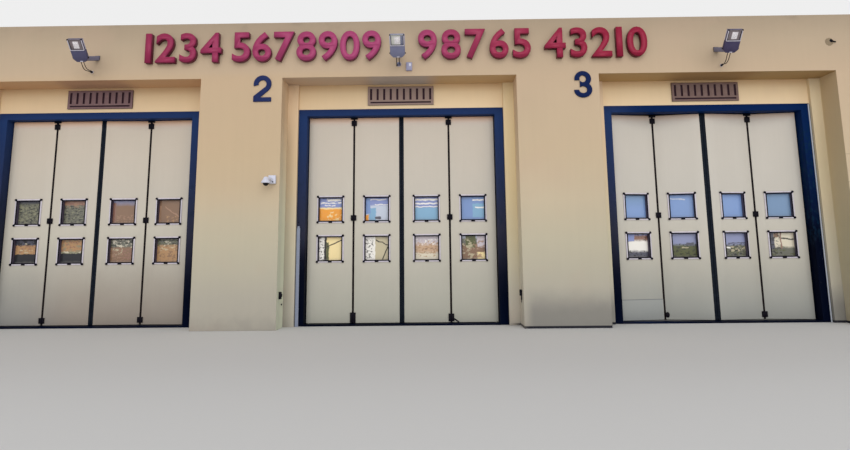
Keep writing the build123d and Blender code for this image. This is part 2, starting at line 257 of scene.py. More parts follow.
def worn_finish(name, first, second, patches, rough, wear, grain, limits=None, share=1.0, **others):
    """A finish that turns from one colour to another in patches, where it is also rougher by the wear."""
    material, place = new_finish(name)
    worn = noise(place, *patches)
    if limits:
        worn = rise(worn, *limits)
    size, detail, depth = grain
    relief = bump(noise(place, size, detail), depth)
    coat(material, mix(worn * share, first, second), worn * wear + rough, relief, **others)
    return material


def rubber(name, dark, dusty):
    """Black rubber with a thin film of dust in patches."""
    return worn_finish(name, dark, dusty, (0.06, 4), 0.55, 0.25, (0.004, 2, 0.0003), (0.42, 0.75), shine=0.05)


def at(x, y, z):
    """A place that is moved and not turned."""
    return Matrix.Translation((x, y, z))


def on(place, x, y=0.0, z=0.0):
    """A spot given by its distances along the axes of a place."""
    return place @ Vector((x, y, z))


def lamp_place(side):
    """Where a lamp's face is: X across the lamp, Y along it from its tail, Z out of its face."""
    cos, sin = math.cos(lamp_tilt), math.sin(lamp_tilt)
    turn = Matrix(((1, 0, 0), (0, -cos, -sin), (0, sin, -cos)))
    return at(lamp_middles[side], front_y - lamp_reach, lamp_tail_height) @ turn.to_4x4()


lead_rubber = rubber("lead_rubber", (24, 22, 30), (52, 48, 54))
lead_exits = {}
for name, (length, *bow) in leads.items():
    side, letter = name.split("_")
    beside = gland_spacing / 2 * (-1 if letter == "a" else 1)
    route = [
        on(lamp_place(side), beside, -gland_length - run, -lamp_thickness / 2)
        for run in (0, lead_first_run)
    ]
    route += [Vector((lamp_middles[side] + x / 1000, front_y - out / 1000, z / 1000)) for x, out, z in bow]
    route.append(Vector((route[-1].x, front_y, route[-1].z)))
    curve = bpy.data.curves.new("lead_" + name, "CURVE")
    curve.dimensions = "3D"
    curve.bevel_depth = lead_radius
    curve.bevel_resolution = 4
    curve.resolution_u = 10
    curve.use_fill_caps = True
    spline = curve.splines.new("NURBS")
    spline.points.add(len(route) - 1)
    for control, spot in zip(spline.points, route):
        control.co = (*spot, 1)
    spline.order_u = 3
    spline.use_endpoint_u = True
    curve.materials.append(lead_rubber)
    lead = add_object("lead_" + name, curve)
    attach(lead, "root")
    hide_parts("lamp_lead_" + name)
    lead_exits[name] = route[-1]

# Walls: masonry with a coat of cream painted plaster. Its colour is greyer toward the ground, partly dust and
# partly painted shade, and the parapet is darker along its top edge, partly wet stains and partly painted
# shade. A dark line of sealant runs along the foot.
wall_names = ("left_wall", "right_wall", "rear_wall", "roof_parapet")
pier_names = ("pier_left", "pier_1_2", "pier_2_3", "pier_right")
parapet_top = 6.2
wall_end = 10.5
recess_top = 5.02
recess_side = 2.39
recess_y = -5.46
door_wall_y = -5.385
front_end_y = -5.3
frame_side = 2.17
end_pier_x = bay_pitch + recess_side
foot_line_height = 0.045
foot_line_start = 2.2
# colour of the walls by height, partly painted shade toward the foot and along the parapet's top
wall_tones_and_shade = [
    (0.0, 176, 170, 158), (0.1, 182, 176, 162), (0.18, 190, 183, 164), (0.27, 197, 188, 165),
    (0.4, 206, 190, 163), (0.55, 206, 185, 155), (0.8, 203, 179, 151), (0.92, 190, 170, 145),
    (1.0, 172, 154, 132),
]
# tones of the soffits, those under the vents of bays 1 and 3 darker as painted shade: where each starts,
# is full, is last full and ends along X, then its levels
past_end = (wall_end + 1, wall_end + 2)
soffit_tones_and_shade = [
    (-7.3, -6.9, -6.0, -5.5, 196, 153, 121), (-2.9, -2.4, -0.9, -0.5, 205, 181, 157),
    (0.45, 0.95, *past_end, 205, 172, 128), (-0.9, -0.5, 0.42, 0.9, 196, 180, 167),
    (2.6, 3.4, *past_end, 190, 157, 109), (5.0, 6.6, *past_end, 177, 146, 101),
    (5.3, 5.9, 7.1, 7.5, 169, 133, 89),
]


def dress(names, material):
    """Gives carried-over pieces of the building their finish."""
    for name in names:
        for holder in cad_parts[name].material_slots:
            holder.material = material


def ramp(share, tones):
    """A colour that changes with a share from 0 to 1. Each tone is the share where it lies and its levels."""
    stops = [(position, paint(*levels)) for position, *levels in tones]
    return share.node("ValToRGB", {"stops": stops}, {0: share})


def share_of(value, top):
    """How much of the top a value has reached, from 0 to 1."""
    return value.node("MapRange", {}, {"Value": value, "From Max": top})


def within(value, low, high, soft):
    """Is 1 between the low and the high value and 0 outside them, with soft ends."""
    return span(value, low - soft, low + soft, high - soft, high + soft)


def soffit_plaster(place):
    """Plaster of the soffits before the doors, with a different tone over each door and painted shade under
    vents.
    """
    along = axes(place)[0]
    colour = mix(noise(place, 0.9), (216, 172, 128), (206, 168, 132))
    for low, full, last, high, *levels in soffit_tones_and_shade:
        colour = mix(span(along, low, full, last, high), colour, levels)
    return colour


def recess_plaster(place, colour):
    """Shades the walls of the three recesses: both cheeks, the strips beside the doors and the soffits."""
    along, inward, height = axes(place)
    recess = span(inward, front_y + 0.004, front_y + 0.01, front_end_y - 0.08, front_end_y)
    recess = recess * span(along, 0.02 - wall_end, 0.06 - wall_end, wall_end - 0.06, wall_end - 0.02)
    recess = recess * rise(height, recess_top + 0.1, recess_top + 0.05)
    cheek = recess * rise(inward, recess_y - 0.01, recess_y - 0.02)
    strip = recess - cheek
    bay_x = along - along.node("Math", {"operation": "SNAP"}, {0: along + bay_pitch / 2, 1: bay_pitch})
    left_cheek = cheek * rise(bay_x, -2.0, -2.1)
    right_cheek = cheek - left_cheek
    end_bay = rise(along, 4.0, 5.0)
    colour = mix(left_cheek * rise(height, 4.4, 1.8) * 0.7, colour, (206, 212, 190))
    colour = mix(right_cheek * end_bay * 0.3, colour, (206, 188, 136))
    middle_right = rise(bay_x, 1.9, 2.3) * rise(along, 1.0, 1.5) * (1 - end_bay)
    colour = mix(strip * middle_right * rise(height, 0.4, 3.0) * 0.6, colour, (214, 196, 150))
    end_right = strip * end_bay * rise(bay_x, 1.9, 2.2)
    colour = mix(end_right * rise(height, 1.5, 3.0) * 0.5, colour, (206, 195, 160))
    # joints in the plaster on the front of the end pier
    joints = within(height, 3.301, 3.309, 0.003) + within(height, 2.745, 2.753, 0.003)
    joints = joints * rise(along, end_pier_x - 0.04, end_pier_x - 0.01)
    colour = mix(joints * rise(inward, front_y + 0.015, front_y + 0.005) * 0.5, colour, (110, 98, 82))
    # light on the strips and the cheeks, and the shade in the corners
    colour = tone(colour, strip * (rise(height, 2.2, 4.4) * 0.12 + 0.14) + 1.0)
    lift = rise(height, 4.4, 3.0) * 0.12 + rise(height, 2.4, 0.8) * 0.08
    colour = tone(colour, right_cheek * (lift - end_bay * (lift + 0.2) + 0.2) + 1.0)
    lift = rise(inward, -5.85, -5.6) * 0.14 - rise(height, 3.6, 4.4) * 0.12
    colour = tone(colour, left_cheek * (lift + 0.2) + 1.0)
    corner = rise(bay_x, -frame_side, -recess_side) * -0.26
    corner = corner + rise(bay_x, 1.9, recess_side) * (end_bay * -0.12 + 0.03)
    colour = tone(colour, strip * corner * rise(height, 4.6, 3.6) + 1.0)
    under = recess * rise(height, recess_top + 0.01, recess_top + 0.002)
    colour = mix(under * rise(height, recess_top - 0.02, recess_top - 0.002), colour, soffit_plaster(place))
    # dirt and the line of sealant at the foot of the front
    front = rise(inward, front_end_y + 0.1, front_end_y) * rise(along, wall_end, wall_end - 0.6)
    puddled = rise(height + noise(place, 0.4) * 0.2, 0.95, 0.35) * rise(along, 2.35, 2.6)
    colour = mix(puddled * (1 - right_cheek) * front * 0.8, colour, (132, 130, 125))
    line = rise(height, foot_line_height + 0.006, foot_line_height - 0.006)
    line = line * rise(along, foot_line_start - 0.1, foot_line_start + 0.3) * front
    return mix(line, colour, (38, 38, 46))


def plaster(name, tones, whole):
    """Painted plaster with blotches, rain streaks, sand and dirt at the foot. A whole wall has recesses."""
    material, place = new_finish(name)
    along, _, height = axes(place)
    # tones by height: on the walls partly painted shade, on the panels partly painted light and shade
    colour = ramp(share_of(height, parapet_top), tones)
    blotches = noise(place, 1.6)
    colour = mix(rise(noise(place, 0.9, 2), 0.5, 0.8) * 0.16, colour, (205, 172, 150))
    warm = rise(along, 0.5, -1.5) * span(height, 2.0, 3.0, 5.0, 5.2)
    colour = mix(warm * 0.3, colour, (205, 176, 138))
    streaks = noise(place, 0.12, 3, (1, 1, 14))
    colour = tone(colour, blotches * 0.1 + streaks * 0.05 + 0.925)
    splash = rise(noise(place, 0.25, 4) * 0.5 + height, 0.65, 0.12)
    colour = mix(splash * 0.4, colour, (128, 124, 118))
    wet = rise(noise(place, 0.5), 0.55, 0.75) * rise(height, parapet_top - 0.3, parapet_top)
    colour = mix(wet * 0.25, colour, (120, 108, 98))
    coat(
        material,
        recess_plaster(place, colour) if whole else colour,
        blotches * 0.1 + 0.84,
        bump(noise(place, 0.006, 2) * 0.25 + noise(place, 0.35, 2, (1, 1, 0.6)), 0.0022),
    )
    return material


dress([*wall_names, *pier_names], plaster("wall_plaster", wall_tones_and_shade, True))

# Panels over the doors: thinner masonry, set back behind the piers under the soffit. Their cream is warmer
# than the walls' and painted lighter as painted light, and it is darker just under the soffit as painted
# shade.
panel_tones_and_light = [(0.7, 239, 213, 176), (0.78, 239, 213, 173), (0.81, 220, 186, 141)]
bays = (1, 2, 3)
dress([f"over_door_wall_{bay}" for bay in bays], plaster("panel_plaster", panel_tones_and_light, False))

# Roof: a flat concrete slab between the parapets under rolled mineral felt. The rolls run front to rear,
# lap over one another every metre and are sealed with bitumen. The underside, which is also the soffit before
# the doors, is plastered.
roll_width = 1.0
roof_felt, place = new_finish("roof_covering")
across, _, height = axes(place)
roll = across.node("Math", {"operation": "PINGPONG"}, {0: across, 1: roll_width / 2})
lap = rise(roll, 0.03, 0.012)
puddles = rise(noise(place, 2.4, 4), 0.5, 0.66)
grit = noise(place, 0.012, 2)
felt = mix(noise(place, 0.7, 4), (104, 103, 101), (134, 132, 128))
felt = mix(puddles * 0.45, felt, (160, 154, 142))
felt = mix(lap * 0.75, tone(felt, grit * 0.16 + 0.92), (64, 62, 62))
under = rise(height, recess_top + 0.1, recess_top + 0.05)
coat(
    roof_felt,
    mix(under, felt, soffit_plaster(place)),
    puddles * -0.12 + 0.88,
    bump((grit * 0.3 + lap) * (1 - under), 0.003),
)
dress(["roof_slab"], roof_felt)

# Floor of the hall: a concrete slab cast between the walls and trowelled smooth. It is grey, and a little
# oily where the engines stand.
floor_concrete, place = new_finish("floor_concrete")
oil = rise(noise(place, 0.8, 4), 0.56, 0.72)
concrete = mix(noise(place, 1.2, 5), (128, 126, 122), (152, 149, 143))
coat(
    floor_concrete,
    mix(oil * 0.5, concrete, (70, 67, 63)),
    oil * -0.3 + 0.72,
    bump(noise(place, 0.02), 0.0008),
)
dress(["floor_slab"], floor_concrete)

# Door frames: welded steel box sections, two jambs, a header and a low sill, painted navy. The paint is sound
# on the header, dusty and blotched at hand height, nearly black at the foot, and chipped along the jambs.
frame_top = 4.49
frame_edge = 0.006
frame_tones = [
    (0.0, 2, 10, 34), (0.12, 2, 8, 28), (0.22, 14, 18, 36), (0.42, 48, 49, 66),
    (0.62, 42, 52, 84), (0.96, 36, 58, 104), (1.0, 33, 50, 92),
]


def round_edges(mesh, edge, steps=2, least=30, faces=None):
    """Rounds every edge that turns by more than the least angle in degrees."""
    found = {e for face in (mesh.faces if faces is None else faces) for e in face.edges}
    sharp = [e for e in found if len(e.link_faces) == 2 and e.calc_face_angle() > math.radians(least)]
    settings = {"profile": 0.5, "affect": "EDGES", "material": -1, "clamp_overlap": True}
    bmesh.ops.bevel(mesh, geom=sharp, offset=edge, segments=steps, **settings)


def add_piece(name, mesh, finishes, node=None, smooth=True):
    """Turns a mesh into a piece with its finish or finishes. It may stand in for a carried-over node."""
    bmesh.ops.recalc_face_normals(mesh, faces=mesh.faces)
    data = bpy.data.meshes.new(name)
    mesh.to_mesh(data)
    mesh.free()
    for finish in finishes if isinstance(finishes, list) else [finishes]:
        data.materials.append(finish)
    if smooth:
        data.shade_smooth()
        data.set_sharp_from_angle(angle=math.radians(35))
    piece = add_object(name, data)
    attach(piece, "root")
    if node:
        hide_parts(node)


def refine(node, name, finish, edge, steps=2, least=30):
    """Puts a copy of a carried-over piece in its place, with flat faces whole again and rounded edges."""
    mesh = bmesh.new()
    mesh.from_mesh(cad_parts[node].data)
    bmesh.ops.remove_doubles(mesh, verts=mesh.verts, dist=0.00005)
    bmesh.ops.dissolve_limit(mesh, angle_limit=math.radians(1), verts=mesh.verts, edges=mesh.edges)
    round_edges(mesh, edge, steps, least)
    add_piece(name, mesh, finish, node)


navy_paint, place = new_finish("navy_paint")
along, _, height = axes(place)
navy = ramp(share_of(height, frame_top), frame_tones)
deeper = rise(along, 4.5, 5.2)
navy = mix(deeper * 0.85, navy, (0, 32, 81))
right_jamb = rise(along, 5.0, 8.0)
navy = mix(deeper * (right_jamb * rise(height, 3.9, 1.5) + rise(height, 2.2, 1.2)) * 0.8, navy, (4, 10, 30))
navy = mix(span(along, -3.5, -3.0, -1.0, 1.0) * rise(height, 1.8, 1.2) * 0.8, navy, (0, 4, 22))
mottled = rise(noise(place, 0.06, 4, (1, 1, 1.6)), 0.5, 0.6) * right_jamb * span(height, 1.4, 2.0, 3.8, 4.1)
navy = mix(mottled * 0.6, navy, (16, 46, 70))
worn = rise(noise(place, 0.11, 4, (1, 1, 1.8)), 0.52, 0.7) * span(height, 0.9, 1.6, 2.6, 3.9)
navy = mix(worn * 0.45, navy, (30, 44, 62))
chipped = rise(noise(place, 0.018), 0.72, 0.76) * rise(noise(place, 0.5, 2), 0.48, 0.6)
coat(
    navy_paint,
    mix(chipped * 0.8, navy, (150, 146, 150)),
    worn * 0.2 + 0.42,
    bump(noise(place, 0.05) * 0.4 - chipped, 0.0006),
    shine=0.02,
)
for bay in bays:
    refine(f"door_frame_{bay}", f"frame_{bay}", navy_paint, frame_edge, 3)

# Door leaves: flat insulated leaves skinned in steel sheet and painted cream, four to a bay, that fold in
# pairs. Road dust greys them below the windows, most of all in bay 1. Near the header their cream is painted
# lighter as painted light, and brown at the very top as painted shade.
leaf_width = 0.9475
leaf_thickness = 0.06
leaf_foot = 0.04
leaf_top = 4.34
leaf_y = -5.185
leaf_edge = 0.003
leaf_edge_gap = 0.015
hinge_gap = 0.03
door_width = 3.98
folds = {1: (0, 3), 2: (0, 0), 3: (10, 8)}
window_rows = (1.554, 2.374)
window_size = 0.5
window_middle = leaf_width / 2
pin_radius = 0.014
pin_length = 0.012
pin_inset = 0.045
patch_height = 0.45
patch_end = 5.41
# cream by height; the stops from 0.955 up are painted light, and the last one is painted shade
leaf_tones_light_and_shade = [
    (0.0, 178, 174, 163), (0.11, 184, 180, 168), (0.25, 192, 187, 174), (0.42, 202, 196, 182),
    (0.62, 204, 196, 183), (0.93, 204, 192, 176), (0.955, 207, 194, 178), (0.968, 216, 200, 184),
    (0.978, 232, 206, 186), (0.988, 242, 205, 176), (1.0, 234, 184, 148),
]


def turned(degrees, letter):
    """A place that is turned about one axis."""
    return Matrix.Rotation(math.radians(degrees), 4, letter)


outward = turned(90, "X")


def leaf_places(bay):
    """Where the four leaves of a bay stand: X along the leaf, Y into the hall, Z up from the ground."""
    cosines = [math.cos(math.radians(fold)) for fold in folds[bay]]
    slack = 2 * leaf_width * (2 - sum(cosines))
    side_gap = leaf_edge_gap + slack / 4
    middle = (bay - 2) * bay_pitch
    starts = (
        middle - door_width / 2 + side_gap,
        middle + door_width / 2 - side_gap - 2 * leaf_width * cosines[1] - hinge_gap,
    )
    places = []
    for start, fold, cos in zip(starts, folds[bay], cosines):
        inward = leaf_width * math.sin(math.radians(fold))
        places.append(at(start, leaf_y, 0) @ turned(fold, "Z"))
        places.append(at(start + leaf_width * cos + hinge_gap, leaf_y + inward, 0) @ turned(-fold, "Z"))
    return places


def add_block(mesh, size, place, edge, steps=2):
    """Adds a block of this size, centred on its place, with rounded edges."""
    matrix = place if isinstance(place, Matrix) else at(*place)
    verts = bmesh.ops.create_cube(mesh, size=1, matrix=matrix @ Matrix.Diagonal((*size, 1)))["verts"]
    round_edges(mesh, edge, steps, faces={face for vert in verts for face in vert.link_faces})


def add_rod(mesh, radius, length, place, sides=20, edge=0.0, far_radius=None):
    """Adds a round rod along the Z of its place, from its foot, with rounded rims."""
    far_radius = radius if far_radius is None else far_radius
    verts = bmesh.ops.create_cone(
        mesh,
        cap_ends=True,
        segments=sides,
        radius1=radius,
        radius2=far_radius,
        depth=length,
        matrix=place @ at(0, 0, length / 2),
    )["verts"]
    if edge:
        round_edges(mesh, edge, 2, 50, {face for vert in verts for face in vert.link_faces})


def raise_faces(mesh, faces, height):
    """Turns flat faces into a solid of this height, and gives the corners of its head."""
    raised = bmesh.ops.extrude_face_region(mesh, geom=faces)["geom"]
    heads = [part for part in raised if isinstance(part, bmesh.types.BMVert)]
    bmesh.ops.translate(mesh, vec=(0, 0, height), verts=heads)
    return heads


def settle(mesh, before, place, edge):
    """Moves what was added to a mesh to its place and rounds its edges."""
    verts = [v for v in mesh.verts if v not in before]
    bmesh.ops.transform(mesh, matrix=place, verts=verts)
    faces = {f for v in verts for f in v.link_faces}
    bmesh.ops.recalc_face_normals(mesh, faces=list(faces))
    round_edges(mesh, edge, 2, 60, faces)


def leaf_finish(name, foot_tone, left_foot_tone, dust_top, cool, patched=False):
    """Cream paint on steel sheet, with dust that thickens toward the foot and painted light and shade at the
    head.
    """
    material, place = new_finish(name)
    along, _, height = axes(place)
    cream = ramp(share_of(height, leaf_top), leaf_tones_light_and_shade)
    cream = mix(rise(height, 1.0, 3.0) * cool, cream, (208, 205, 198))
    dusty = rise(height + noise(place, 0.5) * 0.5, dust_top, 0.2)
    cream = mix(dusty * 0.62, cream, mix(rise(along, -6.7, -8.2), foot_tone, left_foot_tone))
    clouds = noise(place, 0.8)
    cream = tone(cream, clouds * 0.055 + noise(place, 0.045, 3, (1, 1, 22)) * 0.035 + 0.955)
    spots = rise(noise(place, 0.022), 0.735, 0.77) * rise(noise(place, 0.7, 2), 0.5, 0.65)
    cream = mix(spots * 0.35, cream, (120, 108, 98))
    if patched:
        seam = within(height, patch_height - 0.008, patch_height + 0.008, 0.004)
        cream = mix(seam * rise(along, patch_end, patch_end - 0.004) * 0.7, cream, (96, 96, 100))
        plate = rise(height, patch_height + 0.01, patch_height) * rise(along, patch_end, patch_end - 0.01)
        cream = mix(plate * 0.4, cream, (142, 148, 152))
    coat(material, cream, dusty * 0.25 + clouds * 0.08 + 0.42, bump(noise(place, 0.3, 2), 0.0035))
    return material


def add_leaf_skin(mesh, place):
    """Adds one leaf as a folded sheet box with its window openings cut through."""
    before = set(mesh.verts)
    verts = bmesh.ops.create_grid(mesh, x_segments=1, y_segments=1, size=0.5)["verts"]
    bmesh.ops.translate(mesh, vec=(0.5, 0.5, 0), verts=verts)
    bmesh.ops.scale(mesh, vec=(leaf_width, leaf_top - leaf_foot, 1), verts=verts)
    bmesh.ops.translate(mesh, vec=(0, leaf_foot, 0), verts=verts)
    half = window_size / 2
    cuts = [((window_middle + side * half, 0, 0), (1, 0, 0)) for side in (-1, 1)]
    cuts += [((0, row + side * half, 0), (0, 1, 0)) for row in window_rows for side in (-1, 1)]
    for spot, normal in cuts:
        whole = [*mesh.faces, *mesh.edges, *mesh.verts]
        bmesh.ops.bisect_plane(mesh, geom=whole, plane_co=spot, plane_no=normal)
    openings = []
    sheet = []
    for face in mesh.faces:
        middle = face.calc_center_median()
        in_row = any(abs(middle.y - row) < half for row in window_rows)
        is_open = in_row and abs(middle.x - window_middle) < half
        (openings if is_open else sheet).append(face)
    bmesh.ops.delete(mesh, geom=openings, context="FACES_ONLY")
    raise_faces(mesh, sheet, leaf_thickness)
    settle(mesh, before, place @ at(0, leaf_thickness, 0) @ outward, leaf_edge)


leaf_paints = {
    1: leaf_finish("leaf_paint_1", (148, 132, 122), (138, 138, 140), 2.3, 0.0),
    2: leaf_finish("leaf_paint_2", (188, 188, 176), (188, 188, 176), 1.9, 0.12),
    3: leaf_finish("leaf_paint_3", (160, 164, 162), (160, 164, 162), 1.9, 0.5, True),
}
for bay, leaf_paint in leaf_paints.items():
    for letter, place in zip("abcd", leaf_places(bay)):
        mesh = bmesh.new()
        add_leaf_skin(mesh, place)
        if bay == 3 and letter == "a":
            # a flat kick plate covers the foot of this leaf
            plate_height = patch_height - leaf_foot
            middle = place @ at(leaf_width / 2, -0.001, leaf_foot + plate_height / 2)
            add_block(mesh, (leaf_width - 0.01, 0.006, plate_height), middle, 0.001)
        if letter in "ad":
            pin = pin_inset if letter == "a" else leaf_width - pin_inset
            for foot in (0.03, leaf_top - 0.002):
                add_rod(mesh, pin_radius, pin_length, place @ at(pin, leaf_thickness / 2, foot))
        add_piece(f"leaf_{bay}{letter}", mesh, leaf_paint, f"door_leaf_{bay}{letter}")

# Windows in the leaves: each opening has a pale plastic trim outside and a black rubber gasket over a grey
# lining. Black caps are screwed on over the four corners of the trim, and a black clip sits on its foot.
trim_size = 0.572
trim_border = 0.034
trim_height = 0.018
gasket_size = 0.52
gasket_border = 0.023
lining_border = 0.012
cap_spot = 0.27
cap_radius = 0.024
cap_arm_spot = 0.256
clip_drop = 0.266
corners = [(across, up) for across in (-1, 1) for up in (-1, 1)]


def add_ring(mesh, size, border, low, high, place, edge):
    """Adds a square ring that lies in the XY of its place, between two heights."""
    before = set(mesh.verts)
    bmesh.ops.create_grid(mesh, x_segments=1, y_segments=1, size=size / 2)
    face = [f for f in mesh.faces if not before.intersection(f.verts)]
    bmesh.ops.inset_individual(mesh, faces=face, thickness=border, use_even_offset=True)
    bmesh.ops.delete(mesh, geom=face, context="FACES_ONLY")
    flat = [f for f in mesh.faces if not before.intersection(f.verts)]
    bmesh.ops.translate(mesh, vec=(0, 0, low), verts=list({v for f in flat for v in f.verts}))
    raise_faces(mesh, flat, high - low)
    settle(mesh, before, place, edge)


def window_places(bay):
    """Where the windows of a bay are: X along the leaf, Y up, Z out of the leaf, row by row."""
    places = leaf_places(bay)
    return [place @ at(window_middle, 0, row) @ outward for row in window_rows for place in places]


plastic_grain = (0.02, 2, 0.0004)
trim_tints = (212, 206, 216), (178, 170, 178)
lining_tints = (70, 62, 82), (98, 90, 108)
trim_plastic = worn_finish("window_trim", *trim_tints, (0.08, 3), 0.38, 0.2, plastic_grain, (0.4, 0.8), 0.5)
gasket_rubber = rubber("window_gasket", (16, 14, 26), (36, 34, 50))
lining_plastic = worn_finish("window_lining", *lining_tints, (0.05, 3), 0.45, 0.2, plastic_grain)
for bay in bays:
    trims, gaskets, linings = bmesh.new(), bmesh.new(), bmesh.new()
    for window in window_places(bay):
        add_ring(trims, trim_size, trim_border, 0, trim_height, window, 0.005)
        add_ring(linings, window_size - 0.001, lining_border, -leaf_thickness, 0.01, window, 0.002)
        add_ring(gaskets, gasket_size, gasket_border, 0.004, trim_height + 0.006, window, 0.005)
        for across, up in corners:
            cap = window @ at(across * cap_spot, up * cap_spot, 0.004)
            add_rod(gaskets, cap_radius, 0.028, cap, 16, 0.005)
            arm = window @ at(across * cap_arm_spot, up * cap_arm_spot, 0.016) @ turned(45 * across * up, "Z")
            add_block(gaskets, (0.056, 0.032, 0.022), arm, 0.005)
        clip = window @ at(0, -clip_drop, 0.016)
        add_block(gaskets, (0.08, 0.038, 0.026), clip, 0.006)
        add_block(gaskets, (0.05, 0.016, 0.01), clip @ at(0, 0.002, 0.014), 0.003)
    add_piece(f"window_trims_{bay}", trims, trim_plastic)
    add_piece(f"window_gaskets_{bay}", gaskets, gasket_rubber)
    add_piece(f"window_linings_{bay}", linings, lining_plastic)

# Panes: single sheets of glass behind the openings, bedded on the inner face of each leaf. Each has a
# painted reflection of bands and patches, broken up by ripples, and dust has dried along its foot.
glass_size = 0.548
glass_thickness = 0.006
sight_size = window_size - 2 * lining_border
half_line = 0.025
mark_edge = 0.02
mark_overlap = 0.1
sky_blue, grey_blue, azure, pale_sky = (128, 156, 208), (124, 154, 190), (134, 163, 214), (202, 210, 226)
lilac, teal, haze, slate = (140, 152, 204), (136, 180, 212), (148, 154, 190), (92, 92, 106)
orange, cream, beige, white = (250, 166, 58), (255, 232, 172), (204, 192, 160), (250, 246, 238)
sand, tan, bark, rubble = (184, 144, 104), (206, 172, 142), (140, 110, 88), (112, 112, 100)
rust, olive, road, ink = (150, 112, 98), (92, 96, 58), (52, 52, 56), (40, 38, 34)
moss, clay, blush, chalk = (144, 142, 118), (168, 132, 108), (208, 198, 204), (228, 218, 196)
